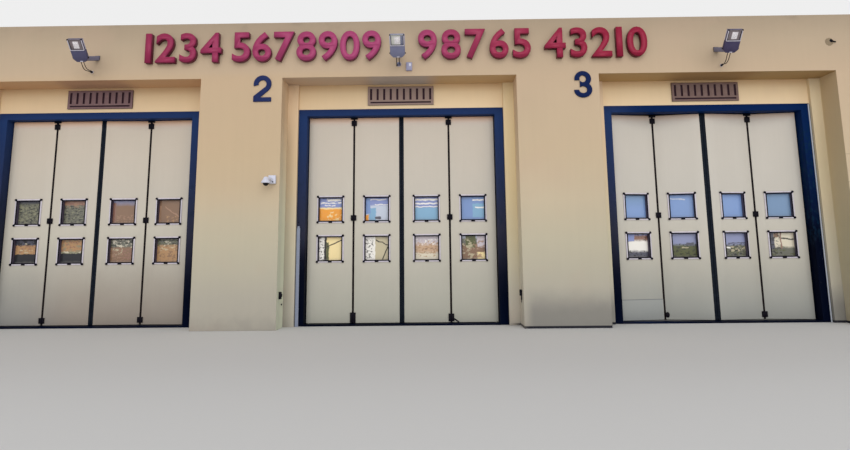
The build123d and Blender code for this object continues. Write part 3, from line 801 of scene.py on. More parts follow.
# the painted reflection on each pane: bands (tint, foot, head) from the foot up, then marks over them
panes = {
    "1a_low": [
        (road, 0, 0.37), (sand, 0.4, 0.74), (slate, 0.8, 1),
        ("specks", rust, 0, 1, 0.4, 0.75), ("specks", beige, 0.2, 0.8, 0.38, 0.6),
        ("specks", ink, 0, 1, 0.74, 1), ("specks", road, 0, 1, 0.74, 1), ("box", chalk, 0.4, 0.5, 0.82, 0.86),
    ],
    "1b_low": [
        (road, 0, 0.38), (moss, 0.41, 0.46), (sand, 0.52, 1),
        ("specks", rust, 0, 1, 0.5, 1), ("specks", chalk, 0, 1, 0.4, 0.5), ("specks", moss, 0, 1, 0.5, 1),
    ],
    "1c_low": [
        (bark, 0, 0.62), (rubble, 0.7, 1),
        ("specks", clay, 0, 1, 0, 0.6), ("specks", rust, 0.5, 1, 0, 0.6), ("specks", beige, 0, 0.5, 0.3, 0.6),
        ("specks", ink, 0, 1, 0.66, 1), ("specks", chalk, 0, 1, 0.62, 1),
    ],
    "1d_low": [
        (sand, 0, 0.7), (rubble, 0.78, 1),
        ("specks", olive, 0, 1, 0.7, 1), ("specks", bark, 0, 1, 0, 0.7), ("specks", beige, 0, 1, 0.5, 0.7),
        ("specks", ink, 0, 1, 0.76, 1), ("specks", chalk, 0.3, 0.8, 0.7, 0.9),
    ],
    "1a_up": [
        (rubble, 0, 0.85), (slate, 1, 1),
        ("specks", moss, 0, 1, 0, 0.9), ("specks", road, 0, 1, 0, 0.9), ("specks", moss, 0, 1, 0, 0.9),
    ],
    "1b_up": [
        (rubble, 0, 0.78), (rust, 0.86, 1),
        ("specks", road, 0, 1, 0, 0.8), ("specks", moss, 0, 1, 0, 0.8), ("specks", clay, 0, 1, 0.7, 1),
    ],
    "1c_up": [
        (bark, 0, 0.74), (haze, 1, 1),
        ("specks", clay, 0.1, 1, 0, 0.35), ("box", rust, 0, 0.12, 0, 0.9),
    ],
    "1d_up": [
        (bark, 0, 1),
        ("box", clay, 0, 0.08, 0, 0.75), ("line", clay, 0.25, 0.7, 0.95, 0.25),
        ("specks", sand, 0.3, 1, 0, 0.3),
    ],
    "2a_low": [
        (cream, 0, 1),
        ("box", white, 0, 0.24, 0, 1), ("specks", ink, 0, 0.22, 0, 1), ("box", ink, 0.22, 0.33, 0, 1),
        ("box", olive, 0.32, 0.43, 0, 0.78), ("line", ink, 0.34, 0.58, 1, 0.88),
    ],
    "2b_low": [
        (beige, 0, 1),
        ("box", white, 0, 0.42, 0, 1), ("specks", ink, 0, 0.34, 0, 0.9), ("line", ink, 0.44, 0.86, 1, 0.62),
        ("line", ink, 0.74, 0, 1, 0.62),
    ],
    "2c_low": [
        (chalk, 0, 0.24), (tan, 0.36, 0.58), (blush, 0.76, 1),
        ("specks", white, 0, 1, 0.6, 0.9), ("specks", sand, 0, 1, 0.1, 0.8), ("specks", bark, 0, 1, 0.3, 0.5),
    ],
    "2d_low": [
        (bark, 0, 0.6), (rubble, 0.7, 0.85), (pale_sky, 0.95, 1),
        ("box", blush, 0.66, 1, 0.5, 1), ("box", cream, 0.66, 1, 0, 0.3), ("box", olive, 0.16, 0.6, 0.5, 1),
        ("specks", beige, 0, 0.7, 0, 0.9), ("specks", clay, 0.5, 1, 0, 0.8),
    ],
    "2a_up": [
        (orange, 0, 0.5), (cream, 0.54, 0.57), (lilac, 0.61, 1),
        ("box", white, 0.3, 0.94, 0.88, 0.97), ("box", white, 0.05, 0.94, 0.76, 0.82),
        ("box", white, 0.2, 0.7, 0.66, 0.7), ("specks", lilac, 0, 1, 0.6, 1),
        ("specks", cream, 0.3, 1, 0, 0.4),
    ],
    "2b_up": [
        (pale_sky, 0, 0.62), (lilac, 0.72, 1),
        ("box", white, 0.1, 0.9, 0.9, 0.94), ("box", white, 0.4, 1, 0.68, 0.72),
        ("box", teal, 0.1, 0.45, 0, 0.55), ("box", sky_blue, 0, 0.2, 0.3, 1),
        ("box", orange, 0, 0.12, 0, 0.25), ("box", slate, 0.42, 0.68, 0.06, 0.17),
    ],
    "2c_up": [
        (teal, 0, 0.52), (lilac, 0.58, 1),
        ("box", white, 0, 1, 0.86, 0.94), ("box", white, 0, 1, 0.7, 0.76), ("box", white, 0, 1, 0.57, 0.61),
    ],
    "2d_up": [
        (sky_blue, 0, 1),
        ("box", white, 0.5, 1, 0.84, 0.9), ("box", teal, 0.5, 1, 0.1, 0.7), ("box", white, 0.6, 1, 0.5, 0.56),
    ],
    "3a_low": [
        (slate, 0, 0.2), (white, 0.32, 0.66), (rust, 0.78, 0.9), (lilac, 1, 1),
        ("specks", ink, 0, 1, 0, 0.3), ("specks", ink, 0.4, 1, 0.72, 1), ("box", lilac, 0, 0.35, 0.7, 1),
    ],
    "3b_low": [
        (olive, 0, 0.46), (haze, 0.58, 1),
        ("specks", road, 0, 1, 0.3, 0.55), ("specks", ink, 0, 1, 0, 0.35),
        ("box", beige, 0.42, 0.7, 0.38, 0.42), ("box", slate, 0.6, 0.9, 0.5, 0.6),
    ],
    "3c_low": [
        (rubble, 0, 0.44), (haze, 0.56, 1),
        ("specks", olive, 0, 1, 0, 0.5), ("specks", road, 0, 1, 0, 0.55),
        ("specks", beige, 0.3, 1, 0.2, 0.45), ("box", white, 0.02, 0.3, 0.36, 0.42),
        ("box", slate, 0.2, 1, 0.56, 0.6),
    ],
    "3d_low": [
        (rubble, 0, 0.32), (chalk, 0.42, 1),
        ("box", slate, 0, 0.22, 0.3, 1), ("box", bark, 0.22, 0.4, 0.8, 1), ("specks", ink, 0, 0.5, 0, 1),
        ("specks", olive, 0, 1, 0, 0.4), ("line", ink, 0.4, 0.78, 1, 0.7), ("line", rust, 0.48, 0.3, 0.48, 1),
    ],
    "3a_up": [(azure, 0, 0.4), (grey_blue, 1, 1)],
    "3b_up": [(azure, 0, 0.75), (sky_blue, 1, 1), ("line", pale_sky, 0.05, 0.84, 0.7, 0.8)],
    "3c_up": [(azure, 0, 0.7), (sky_blue, 1, 1)],
    "3d_up": [(grey_blue, 0, 1)],
}


def pane_finish(name, window, rows):
    """Glass with a painted reflection of bands and marks, softened by ripples in the sheet."""
    material, place = new_finish(name)
    left, right = (on(window, side * sight_size / 2).x for side in (-1, 1))
    foot = on(window, 0, -sight_size / 2).z
    ripple = (noise(place, 0.09) - 0.5) * 0.12
    along, _, height = axes(place)
    across = (along - left) * (1 / (right - left)) + ripple
    up = (height - foot) * (1 / sight_size) + ripple
    bands = [row for row in rows if len(row) == 3]
    painted_reflection = ramp(up, [(spot, *tint) for tint, low, high in bands for spot in sorted({low, high})])
    for turn, (kind, tint, *spots) in enumerate(rows[len(bands):]):
        if kind == "line":
            x0, y0, x1, y1 = spots
            if x1 - x0 > abs(y1 - y0):
                drift = up - (across - x0) * ((y1 - y0) / (x1 - x0)) - y0
                cover = within(across, x0, x1, mark_edge)
            else:
                drift = across - (up - y0) * ((x1 - x0) / (y1 - y0)) - x0
                cover = within(up, y0, y1, mark_edge)
            cover = cover * within(drift, -half_line, half_line, mark_edge)
        else:
            lows = [low - mark_overlap * (low == 0) for low in spots[0::2]]
            highs = [high + mark_overlap * (high == 1) for high in spots[1::2]]
            cover = within(across, lows[0], highs[0], mark_edge) * within(up, lows[1], highs[1], mark_edge)
        if kind == "specks":
            grain = noise(place, 0.034 + 0.008 * turn, 3, (1.4, 1, 1))
            cover = cover * rise(grain, 0.5, 0.62) * 0.8
        painted_reflection = mix(cover, painted_reflection, tint)
    low_dust = rise(up, 0.1, 0.0)
    coat(
        material,
        mix(low_dust * 0.25, painted_reflection, (150, 146, 138)),
        low_dust * 0.3 + 0.1,
        bump(ripple * 4 + 0.5, 0.0006),
    )
    return material


for bay in bays:
    mesh = bmesh.new()
    finishes = []
    for number, window in enumerate(window_places(bay)):
        pane_name = f"{bay}{'abcd'[number % 4]}_{'low' if number < 4 else 'up'}"
        finishes.append(pane_finish("window_glass_" + pane_name, window, panes[pane_name]))
        before = set(mesh.faces)
        middle = window @ at(0, 0, -leaf_thickness - glass_thickness / 2)
        add_block(mesh, (glass_size, glass_size, glass_thickness), middle, 0.001, 1)
        for face in set(mesh.faces) - before:
            face.material_index = number
    add_piece(f"panes_{bay}", mesh, finishes, f"door_glass_{bay}")

# Hinges: the joint between the leaves of a pair is closed by a dark rubber strip. Three black steel blocks
# are screwed on over it, and a guide rod stands on the top one and ends in a shoe under the header.
strip_width = 0.042
strip_lift = 0.003
strip_overlap = 0.001
strip_front = 0.004
strip_back = 0.05
block_size = 0.114
block_thickness = 0.028
block_rows = (0.136, 2.19, 4.222)
tall_feet = {(2, 0): (0.045, 0.25), (2, 1): (0.062, 0.214)}
barrel_radius = 0.01
barrel_end = 0.006
screw_inset = 0.024
screw_height = 0.034
guide_width = 0.034
shoe_width = 0.15
shoe_height = 0.042
shoe_top = 4.347


def add_prism(mesh, outline, low, high, edge):
    """Adds an upright solid over an outline in plan, with rounded edges."""
    foot = [mesh.verts.new((*spot[:2], low)) for spot in outline]
    heads = raise_faces(mesh, [mesh.faces.new(foot)], high - low)
    faces = {f for v in [*foot, *heads] for f in v.link_faces}
    bmesh.ops.recalc_face_normals(mesh, faces=list(faces))
    round_edges(mesh, edge, 2, 40, faces)


def hinge_outline(left, right, width, lift):
    """Plan of a hinge part of this width that lies on the faces of both leaves."""
    reach = (width - hinge_gap) / 2
    return [
        on(left, leaf_width - reach),
        on(left, leaf_width),
        on(right, 0),
        on(right, reach),
        on(right, reach, -lift),
        on(left, leaf_width - reach, -lift),
    ]


strip_rubber = rubber("hinge_strip", (22, 16, 18), (44, 36, 36))
block_steel, place = new_finish("hinge_block")
rubbed = rise(noise(place, 0.03, 4), 0.55, 0.72)
coat(
    block_steel,
    mix(rubbed * 0.6, (12, 9, 20), (30, 26, 36)),
    rubbed * -0.12 + 0.52,
    bump(noise(place, 0.01), 0.0004),
    shine=0.08,
    metallic=rubbed * 0.2,
)
for bay in bays:
    places = leaf_places(bay)
    strips, blocks = bmesh.new(), bmesh.new()
    for pair, (left, right) in enumerate((places[0:2], places[2:4])):
        outline = [
            on(left, leaf_width + strip_overlap, strip_front),
            on(right, -strip_overlap, strip_front),
            on(right, -strip_overlap, strip_back),
            on(left, leaf_width + strip_overlap, strip_back),
        ]
        add_prism(strips, outline, leaf_foot, leaf_top, 0.004)
        add_prism(strips, hinge_outline(left, right, strip_width, strip_lift), leaf_foot, leaf_top, 0.001)
        joint = (on(left, leaf_width) + on(right, 0)) / 2
        block = hinge_outline(left, right, block_size, block_thickness)
        for row in block_rows:
            low, high = row - block_size / 2, row + block_size / 2
            if row == block_rows[0] and (bay, pair) == (3, 0):
                # this foot has a half round knob beside the joint instead of a block
                knob = right @ at(0.036, 0, row) @ outward @ Matrix.Diagonal((0.7, 1, 1, 1))
                add_rod(blocks, 0.056, block_thickness, knob, 24, 0.006)
                continue
            if row == block_rows[0]:
                low, high = tall_feet.get((bay, pair), (low, high))
            add_prism(blocks, block, low, high, 0.005)
            barrel = at(joint.x, joint.y - block_thickness, low - barrel_end)
            add_rod(blocks, barrel_radius, high - low + 2 * barrel_end, barrel, 16, 0.002)
            for leaf, spot in ((left, leaf_width - screw_inset), (right, screw_inset)):
                for up in (-screw_height, screw_height):
                    screw = leaf @ at(spot, -block_thickness + 0.001, row + up) @ outward
                    add_rod(blocks, 0.008, 0.006, screw, 12, 0.002)
        guide = hinge_outline(left, right, guide_width, block_thickness)
        add_prism(blocks, guide, block_rows[-1] + block_size / 2, shoe_top, 0.006)
        if (bay, pair) == (2, 1):
            # a lever leans on the foot of this joint
            lever = right @ at(0.086, -0.014, 0.082) @ turned(34, "Y")
            add_block(blocks, (0.13, 0.014, 0.026), lever, 0.005)
        shoe = hinge_outline(left, right, shoe_width, block_thickness)
        add_prism(blocks, shoe, shoe_top - shoe_height, shoe_top, 0.006)
    add_piece(f"hinge_strips_{bay}", strips, strip_rubber)
    add_piece(f"hinge_blocks_{bay}", blocks, block_steel)

# Centre seals: two hollow rubber noses, one on the edge of each middle leaf, that press on each other in the
# middle of the doorway. They are nearly black with a blue bloom and stand from the sill to the header.
nose_gap = 0.0015
nose_edge = 0.01
seal_rubber = rubber("seal_rubber", (20, 26, 36), (32, 38, 48))
for bay in bays:
    left, right = leaf_places(bay)[1:3]
    near, far = ((on(left, leaf_width, depth), on(right, 0, depth)) for depth in (0, leaf_thickness))
    mesh = bmesh.new()
    for side in (0, 1):
        inner = [(a + b) / 2 + ((b - a) if side else (a - b)).normalized() * nose_gap for a, b in (near, far)]
        add_prism(mesh, [near[side], *inner, far[side]], leaf_foot, leaf_top, nose_edge)
    add_piece(f"seal_{bay}", mesh, seal_rubber, f"centre_seal_{bay}")

# Vents over the doors: pressed aluminium covers, painted brown grey, with ten upright slots and one long slot
# at the foot. The insides of their slots are painted dark as painted shade, and dust lies on the lower edge.
vent_thickness = 0.035
vent_edge = 0.003
vent_paint, place = new_finish("vent_paint")
along, inward, height = axes(place)
# the insides of the slots are painted dark as painted shade
painted_slot_shade = rise(inward, door_wall_y - vent_thickness + 0.002, door_wall_y - vent_thickness + 0.006)
dust = rise(noise(place, 0.09, 4), 0.45, 0.75)
brown = mix(rise(along, -6.0, -1.0), (121, 94, 96), (148, 125, 116))
brown = mix(rise(along, 1.0, 5.5), brown, (122, 98, 92))
brown = mix(rise(height, 4.945, 4.965) * 0.6, brown, (84, 44, 36))
brown = mix(dust * 0.3, brown, (156, 134, 128))
coat(vent_paint, mix(painted_slot_shade, brown, (44, 8, 28)), dust * 0.2 + 0.5, bump(noise(place, 0.03), 0.0006))
for bay in bays:
    refine(f"wall_vent_{bay}", f"vent_{bay}", vent_paint, vent_edge)

# Bay numbers: figures cut from thick plastic sheet and painted blue. Each is fixed flat near the top of the
# pier to the left of its bay.
number_edge = 0.004
number_blue, place = new_finish("number_paint")
faded = noise(place, 0.15)
blue = mix(faded, (28, 38, 84), (42, 54, 100))
coat(
    number_blue,
    mix(rise(axes(place)[0], 0, 2) * 0.8, blue, (2, 27, 74)),
    faded * 0.15 + 0.38,
    bump(noise(place, 0.02, 2), 0.0004),
    shine=0.06,
)
for bay in bays:
    refine(f"bay_number_{bay}", f"number_{bay}", number_blue, number_edge, least=40)

# Sign on the fascia: deep, plain figures built from red acrylic on folded sides. They stand in two groups,
# one on either side of the middle lamp, and the sun has faded the red unevenly. Their sides are painted
# darker than their faces, as painted shade.
sign_depth = 0.125
sign_height = 0.62
sign_foot = 5.34
sign_swell = 0.022
sign_groups = {
    "sign_left": [("1234", -5.195, -3.631), ("5678909", -3.405, -0.358)],
    "sign_right": [("98765", 0.395, 2.686), ("43210", 2.969, 5.044)],
}


def add_figures(mesh, text, left, right):
    """Adds raised figures of one height on the fascia, with equal gaps between two places."""
    before = set(mesh.verts)
    shapes = []
    for figure in text:
        line = bpy.data.curves.new("figure", "FONT")
        line.body = figure
        line.offset = sign_swell
        line.resolution_u = 5
        holder = add_object("figure", line)
        bpy.context.view_layer.update()
        flat = bpy.data.meshes.new_from_object(holder.evaluated_get(bpy.context.evaluated_depsgraph_get()))
        bpy.data.objects.remove(holder)
        known = set(mesh.verts)
        mesh.from_mesh(flat)
        verts = [v for v in mesh.verts if v not in known]
        low_x, low_y = min(v.co.x for v in verts), min(v.co.y for v in verts)
        scale = sign_height / (max(v.co.y for v in verts) - low_y)
        bmesh.ops.translate(mesh, vec=(-low_x, -low_y, 0), verts=verts)
        bmesh.ops.scale(mesh, vec=(scale, scale, 1), verts=verts)
        shapes.append((verts, max(v.co.x for v in verts)))
    gap = (right - left - sum(width for verts, width in shapes)) / (len(shapes) - 1)
    start = left
    for verts, width in shapes:
        bmesh.ops.translate(mesh, vec=(start, 0, 0), verts=verts)
        start += width + gap
    verts = [v for v in mesh.verts if v not in before]
    bmesh.ops.remove_doubles(mesh, verts=verts, dist=0.0001)
    raise_faces(mesh, [f for f in mesh.faces if not before.intersection(f.verts)], sign_depth)
    verts = [v for v in mesh.verts if v not in before]
    bmesh.ops.transform(mesh, matrix=at(0, front_y, sign_foot) @ outward, verts=verts)


sign_red, place = new_finish("sign_red")
along, inward, _ = axes(place)
sun_faded = noise(place, 0.6)
# the faces keep the red, and the sides are painted at under half its brightness as painted shade
front = rise(inward, front_y - sign_depth + 0.004, front_y - sign_depth + 0.001)
red = mix(rise(along, -5.2, -0.6), (152, 40, 80), (174, 69, 116))
red = mix(rise(along, -0.2, 2.2), red, (160, 46, 80))
red = mix(rise(along, 1.5, 4.6), red, (152, 24, 58))
coat(
    sign_red,
    mix(front, tone(red, sun_faded * 0.1 + 0.42), tone(red, sun_faded * 0.1 + 0.95)),
    sun_faded * 0.12 + 0.34,
    bump(noise(place, 0.12, 2), 0.001),
)
for sign_name, groups in sign_groups.items():
    mesh = bmesh.new()
    for group in groups:
        add_figures(mesh, *group)
    add_piece(sign_name, mesh, sign_red, smooth=False)

# Flood lamps: die cast housings with a driver box at the tail and a window for the light panel at the head.
# A pale bar parts the two, steel rails edge the head, and a square arm holds the lamp off the fascia.
lamp_length = 0.465
lamp_width = 0.29
lamp_corner = 0.06
driver_length = 0.24
head_middle = 0.352
head_back = (lamp_length + driver_length) / 2
rib_spacing = 0.035
arm_height = 5.49
arm_size = 0.09
arm_inset = 0.06
plate_size = 0.1
plate_screw = 0.04


def metal(name, first, second, metallic, rough):
    """Painted or bare metal with light cloudy wear."""
    return worn_finish(name, first, second, (0.06, 4), rough, 0.2, (0.008, 3, 0.0003), metallic=metallic)


lamp_slates = {
    "left": metal("lamp_housing_left", (76, 74, 104), (94, 92, 122), 0.2, 0.42),
    "middle": metal("lamp_housing_middle", (116, 118, 148), (132, 134, 160), 0.1, 0.42),
    "right": metal("lamp_housing_right", (66, 60, 92), (82, 76, 106), 0.2, 0.42),
}
lamp_pale = metal("lamp_bar", (196, 192, 206), (222, 218, 230), 0.1, 0.35)
lamp_black = metal("lamp_black", (26, 22, 32), (42, 38, 48), 0.1, 0.45)
lamp_arm = metal("lamp_arm", (112, 112, 138), (134, 134, 160), 0.1, 0.42)
lamp_bright = metal("lamp_bright", (206, 206, 200), (226, 226, 220), 0.0, 0.5)
lamp_recess = metal("lamp_recess", (136, 124, 128), (156, 144, 146), 0.0, 0.5)
led_white, place = new_finish("lamp_panel")
cell = place.node("TexVoronoi", {"feature": "F1"}, {"Vector": place, "Scale": 45.0}, "Distance")
coat(
    led_white,
    mix(rise(cell, 0.25, 0.55), (255, 252, 252), (226, 220, 224)),
    rise(cell, 0.3, 0.6) * 0.2 + 0.25,
    bump(cell, 0.001),
)
for side in lamp_middles:
    face = lamp_place(side)
    shell, pale, dark, panel, recess, arm = (bmesh.new() for part in range(6))
    # driver box with chamfered tail, and the deep back of the head
    half = lamp_width / 2
    outline = [
        (-half + lamp_corner, 0), (half - lamp_corner, 0), (half, lamp_corner),
        (half, driver_length), (-half, driver_length), (-half, lamp_corner),
    ]
    add_prism(shell, outline, -lamp_thickness, 0, 0.007)
    add_block(shell, (lamp_width, lamp_length - driver_length, 0.05), (0, head_back, -0.045), 0.008)
    for rib in range(-3, 4):
        add_block(shell, (0.006, 0.2, 0.016), (rib * rib_spacing, head_back, -lamp_thickness - 0.004), 0.002)
    add_block(shell, (0.2, 0.13, 0.01), (0, 0.115, -lamp_thickness - 0.003), 0.004)
    # head: grey recess with fins, white panel set off the middle, steel rails and a knob at each corner
    add_ring(dark, 0.24, 0.008, -0.022, 0.0, at(0, head_middle, 0) @ Matrix.Diagonal((1, 0.82, 1, 1)), 0.002)
    add_block(recess, (0.23, 0.19, 0.008), (0, head_middle, -0.012), 0.001)
    for fin in range(4):
        for fin_x in (0.058 + fin * 0.015, -0.104 + fin * 0.012):
            add_block(recess, (0.005, 0.17, 0.006), (fin_x, head_middle, -0.006), 0.001)
    add_block(panel, (0.108, 0.14, 0.008), (0.004, head_middle - 0.004, -0.004), 0.002)
    if side == "middle":
        add_block(shell, (0.05, 0.19, 0.01), (0.088, head_middle, -0.008), 0.002)
    add_block(recess, (lamp_width - 0.05, 0.01, 0.012), (0, lamp_length - 0.008, 0), 0.002)
    for way in (-1, 1):
        add_block(pale, (0.014, 0.205, 0.02), (way * 0.133, head_middle, -0.002), 0.004)
        add_block(pale, (0.01, 0.205, 0.018), (way * half, head_middle, -0.046), 0.003)
        add_rod(dark, 0.013, 0.04, at(way * 0.135, lamp_length - 0.006, -0.03), 14, 0.004)
        bolt = at(way * (half - 0.004), arm_inset + 0.02, -lamp_thickness / 2) @ turned(90 * way, "Y")
        add_rod(dark, 0.015, 0.02, bolt, 6, 0.002)
        gland = at(way * gland_spacing / 2, 0.003, -lamp_thickness / 2) @ outward
        add_rod(pale, 0.014, 0.012, gland, 6, 0.002)
        add_rod(dark, 0.011, gland_length + 0.003, gland, 16, 0.003, lead_radius)
    add_block(pale, (lamp_width - 0.016, 0.014, 0.014), (0, driver_length + 0.004, 0.002), 0.003)
    add_block(pale, (0.052, 0.018, 0.006), (0.01, 0.014, 0.001), 0.002)
    for part in (shell, pale, dark, panel, recess):
        bmesh.ops.transform(part, matrix=face, verts=part.verts)
    # arm from the plate on the fascia to the back of the tail, with a dark strip under it as painted shade
    x = lamp_middles[side]
    start = Vector((x, front_y, arm_height))
    run = on(face, 0, arm_inset, -lamp_thickness / 2) - start
    lean = run.to_track_quat("Z", "Y").to_matrix().to_4x4()
    arm_middle = at(*(start + run * 0.5 - run.normalized() * arm_size / 2)) @ lean
    add_block(arm, (arm_size, arm_size, run.length + arm_size), arm_middle, 0.008, 3)
    whole = [*arm.verts, *arm.edges, *arm.faces]
    bmesh.ops.bisect_plane(arm, geom=whole, plane_co=(0, front_y, 0), plane_no=(0, 1, 0), clear_outer=True)
    bmesh.ops.holes_fill(arm, edges=[edge for edge in arm.edges if edge.is_boundary])
    underside_shade_strip = at(0, 0, -arm_size / 2) @ at(*(start + run * 0.5)) @ lean
    add_block(dark, (arm_size - 0.02, 0.012, run.length - 0.08), underside_shade_strip, 0.003)
    add_block(dark, (plate_size, 0.01, plate_size), (x, front_y - 0.005, arm_height), 0.003)
    for across, up in corners:
        spot = at(x + across * plate_screw, front_y - 0.009, arm_height + up * plate_screw) @ outward
        add_rod(dark, 0.006, 0.008, spot, 6, 0.001)
    # tapered rubber sleeve where both leads enter the fascia, with its pale washer
    middle = (lead_exits[side + "_a"] + lead_exits[side + "_b"]) / 2
    entry = at(middle.x, middle.y + 0.001, middle.z) @ outward
    sleeve, sleeve_radius = (shell, 0.044) if side == "middle" else (dark, 0.026)
    add_rod(sleeve, sleeve_radius, 0.06, entry, 24, 0.006, sleeve_radius - 0.008)
    add_rod(pale, sleeve_radius + 0.005, 0.004, entry, 24, 0.001)
    add_piece(f"lamp_{side}_housing", shell, lamp_slates[side], f"flood_lamp_{side}")
    add_piece(f"lamp_{side}_arm", arm, lamp_arm)
    add_piece(f"lamp_{side}_rails", pale, lamp_pale)
    add_piece(f"lamp_{side}_fittings", dark, lamp_black)
    add_piece(f"lamp_{side}_panel", panel, led_white)
    add_piece(f"lamp_{side}_recess", recess, lamp_bright if side == "middle" else lamp_recess)

# Dome camera: a white cast cap on a short neck, held off the pier by a flat white box. The smoked dome
# hangs below the cap, and a black plug closes the spare cable hole in the box.
camera_x = -2.53
camera_z = 2.92
box_depth = 0.06
cap_place = Vector((camera_x - 0.078, front_y - 0.2, camera_z - 0.088))
neck_radius = 0.036
dome_radius = 0.058
# outline of the cap, from its crown to its rim and in below it: distance from the axis and height
profile = [
    (0.0, 0.127), (0.03, 0.124), (0.044, 0.108), (0.062, 0.066),
    (0.086, 0.03), (0.09, 0.01), (0.088, 0.0), (0.062, 0.0), (0.0, 0.004),
]
camera_white = metal("camera_shell", (206, 208, 226), (224, 225, 236), 0.0, 0.35)
camera_smoke = metal("camera_dome", (16, 14, 16), (26, 24, 26), 0.0, 0.1)
body, cap, dome = bmesh.new(), bmesh.new(), bmesh.new()
neck_start = Vector((camera_x, front_y - box_depth / 2, camera_z))
add_block(body, (0.15, box_depth, 0.17), at(*neck_start), 0.014, 3)
neck_run = Vector((cap_place.x, cap_place.y, camera_z)) - neck_start
neck_lean = neck_run.to_track_quat("Z", "Y").to_matrix().to_4x4()
add_rod(body, neck_radius, neck_run.length, at(*neck_start) @ neck_lean, 24)
spots = [cap.verts.new((radius, 0, up)) for radius, up in profile]
whole = [*spots, *(cap.edges.new(pair) for pair in zip(spots, spots[1:]))]
bmesh.ops.spin(cap, geom=whole, cent=(0, 0, 0), axis=(0, 0, 1), angle=math.tau, steps=40, use_merge=True)
bmesh.ops.remove_doubles(cap, verts=cap.verts, dist=0.0001)
bmesh.ops.translate(cap, vec=cap_place, verts=cap.verts)
bmesh.ops.create_uvsphere(dome, u_segments=32, v_segments=16, radius=dome_radius)
whole = [*dome.verts, *dome.edges, *dome.faces]
bmesh.ops.bisect_plane(dome, geom=whole, plane_co=(0, 0, 0.002), plane_no=(0, 0, 1), clear_outer=True)
bmesh.ops.holes_fill(dome, edges=[e for e in dome.edges if e.is_boundary])
bmesh.ops.translate(dome, vec=cap_place, verts=dome.verts)
plug = at(camera_x + 0.02, front_y - 0.058, camera_z - 0.05) @ outward
add_rod(dome, 0.015, 0.01, plug, 16, 0.003)
add_piece("camera_bracket", body, camera_white, "dome_camera")
add_piece("camera_cap", cap, camera_white)
add_piece("camera_dome", dome, camera_smoke)

# Junction box: a flat grey plastic box on the fascia beside the middle lamp, with a lid held by four screws.
# A pale block on its lid is a painted highlight where the lid catches the sky.
box_x, box_z = 0.208, 5.213
box_size = (0.122, 0.046, 0.172)
box_grey = metal("junction_box", (150, 148, 178), (172, 170, 196), 0.0, 0.4)
box_white = metal("junction_highlight", (214, 214, 230), (232, 232, 242), 0.0, 0.35)
box, highlight_patch = bmesh.new(), bmesh.new()
add_block(box, box_size, (box_x, front_y - box_size[1] / 2, box_z), 0.006, 3)
add_block(box, (0.104, 0.008, 0.154), (box_x, front_y - 0.048, box_z), 0.003)
for across, up in corners:
    screw = at(box_x + across * 0.042, front_y - 0.05, box_z + up * 0.066) @ outward
    add_rod(box, 0.006, 0.005, screw, 12, 0.001)
add_piece("junction_box", box, box_grey)
# pale block on the lid as a painted highlight
add_block(highlight_patch, (0.044, 0.003, 0.06), (box_x + 0.02, front_y - 0.053, box_z + 0.03), 0.001)
add_piece("junction_highlight", highlight_patch, box_white)

# Sockets: a black rubber supply socket stands on each cheek of the middle recess at knee height, the right
# one with its plug hanging below. A small stud sits deeper in the left cheek.
left_x, right_x = -recess_side, recess_side
left_y, right_y, plug_y, stud_y = -5.805, -5.765, -5.775, -5.63
socket_black = rubber("socket_rubber", (20, 19, 26), (46, 44, 50))
sockets = bmesh.new()
add_block(sockets, (0.044, 0.09, 0.14), (left_x + 0.022, left_y, 0.646), 0.01, 3)
add_block(sockets, (0.02, 0.06, 0.06), (left_x + 0.05, left_y, 0.65), 0.008)
add_block(sockets, (0.02, 0.03, 0.03), (left_x + 0.01, stud_y, 0.458), 0.005)
add_block(sockets, (0.044, 0.085, 0.12), (right_x - 0.022, right_y, 0.66), 0.01, 3)
add_block(sockets, (0.02, 0.03, 0.08), (right_x - 0.014, plug_y, 0.56), 0.006)
add_rod(sockets, 0.006, 0.06, at(right_x - 0.014, plug_y, 0.47), 12, 0.002)
add_piece("sockets", sockets, socket_black)

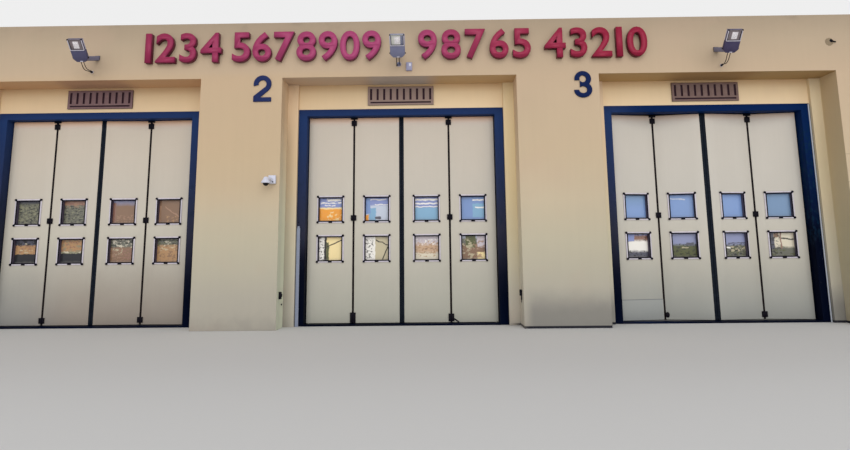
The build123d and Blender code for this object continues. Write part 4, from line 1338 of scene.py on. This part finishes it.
# Trunking: a blue grey plastic duct stands on the ground beside the middle door and covers part of its left
# jamb up to shoulder height. It is capped at the top and clipped to the jamb in three places.
duct_x = -frame_side + 0.046
duct_height = 1.98
duct_grey = metal("trunking", (128, 136, 158), (148, 156, 176), 0.0, 0.45)
duct = bmesh.new()
add_block(duct, (0.068, 0.034, duct_height), (duct_x, door_wall_y - 0.017, duct_height / 2), 0.006, 3)
add_block(duct, (0.052, 0.03, 0.06), (duct_x, door_wall_y - 0.015, duct_height + 0.01), 0.014, 3)
for clip_z in (0.35, 1.05, 1.75):
    add_block(duct, (0.076, 0.038, 0.022), (duct_x, door_wall_y - 0.0185, clip_z), 0.004)
add_piece("trunking", duct, duct_grey)

# Edge strip of bay 3: a pale plastic profile along the right edge of the door frame. It is bedded on dark
# sealant, which shows as a thin line beside it.
edge_x = bay_pitch + frame_side
edge_length = 4.47
edge_middle = 2.237
edge_pale = metal("edge_strip", (170, 176, 188), (194, 199, 206), 0.0, 0.5)
edge_strip, sealant = bmesh.new(), bmesh.new()
add_block(edge_strip, (0.028, 0.012, edge_length), (edge_x - 0.02, door_wall_y - 0.006, edge_middle), 0.003)
add_piece("edge_strip", edge_strip, edge_pale)
add_block(sealant, (0.006, 0.014, edge_length), (edge_x - 0.003, door_wall_y - 0.007, edge_middle), 0.002)
add_piece("edge_sealant", sealant, socket_black)

# Old fixings: a screw left above the trunking, and a hole in the fascia with the end of an old lead. The hole
# has a rough patch of bare grey mortar round it.
patch_spot = (8.772, front_y + 0.001, 5.62)
hole_spot = (8.812, front_y + 0.001, 5.642)
screw_spot = (duct_x - 0.004, door_wall_y, 2.1)
mortar = worn_finish("mortar_patch", (124, 109, 90), (162, 144, 118), (0.03, 3), 0.9, 0.0, (0.012, 3, 0.001))
patch, fixings = bmesh.new(), bmesh.new()
add_rod(patch, 0.084, 0.005, at(*patch_spot) @ outward, 11, 0.001)
add_piece("mortar_patch", patch, mortar)
add_rod(fixings, 0.012, 0.01, at(*screw_spot) @ outward, 12, 0.003)
hole = at(*hole_spot) @ outward
add_rod(fixings, 0.034, 0.009, hole, 20, 0.002)
add_rod(fixings, 0.014, 0.09, hole @ turned(60, "Y") @ turned(25, "X"), 12, 0.003)
add_piece("old_fixings", fixings, socket_black)
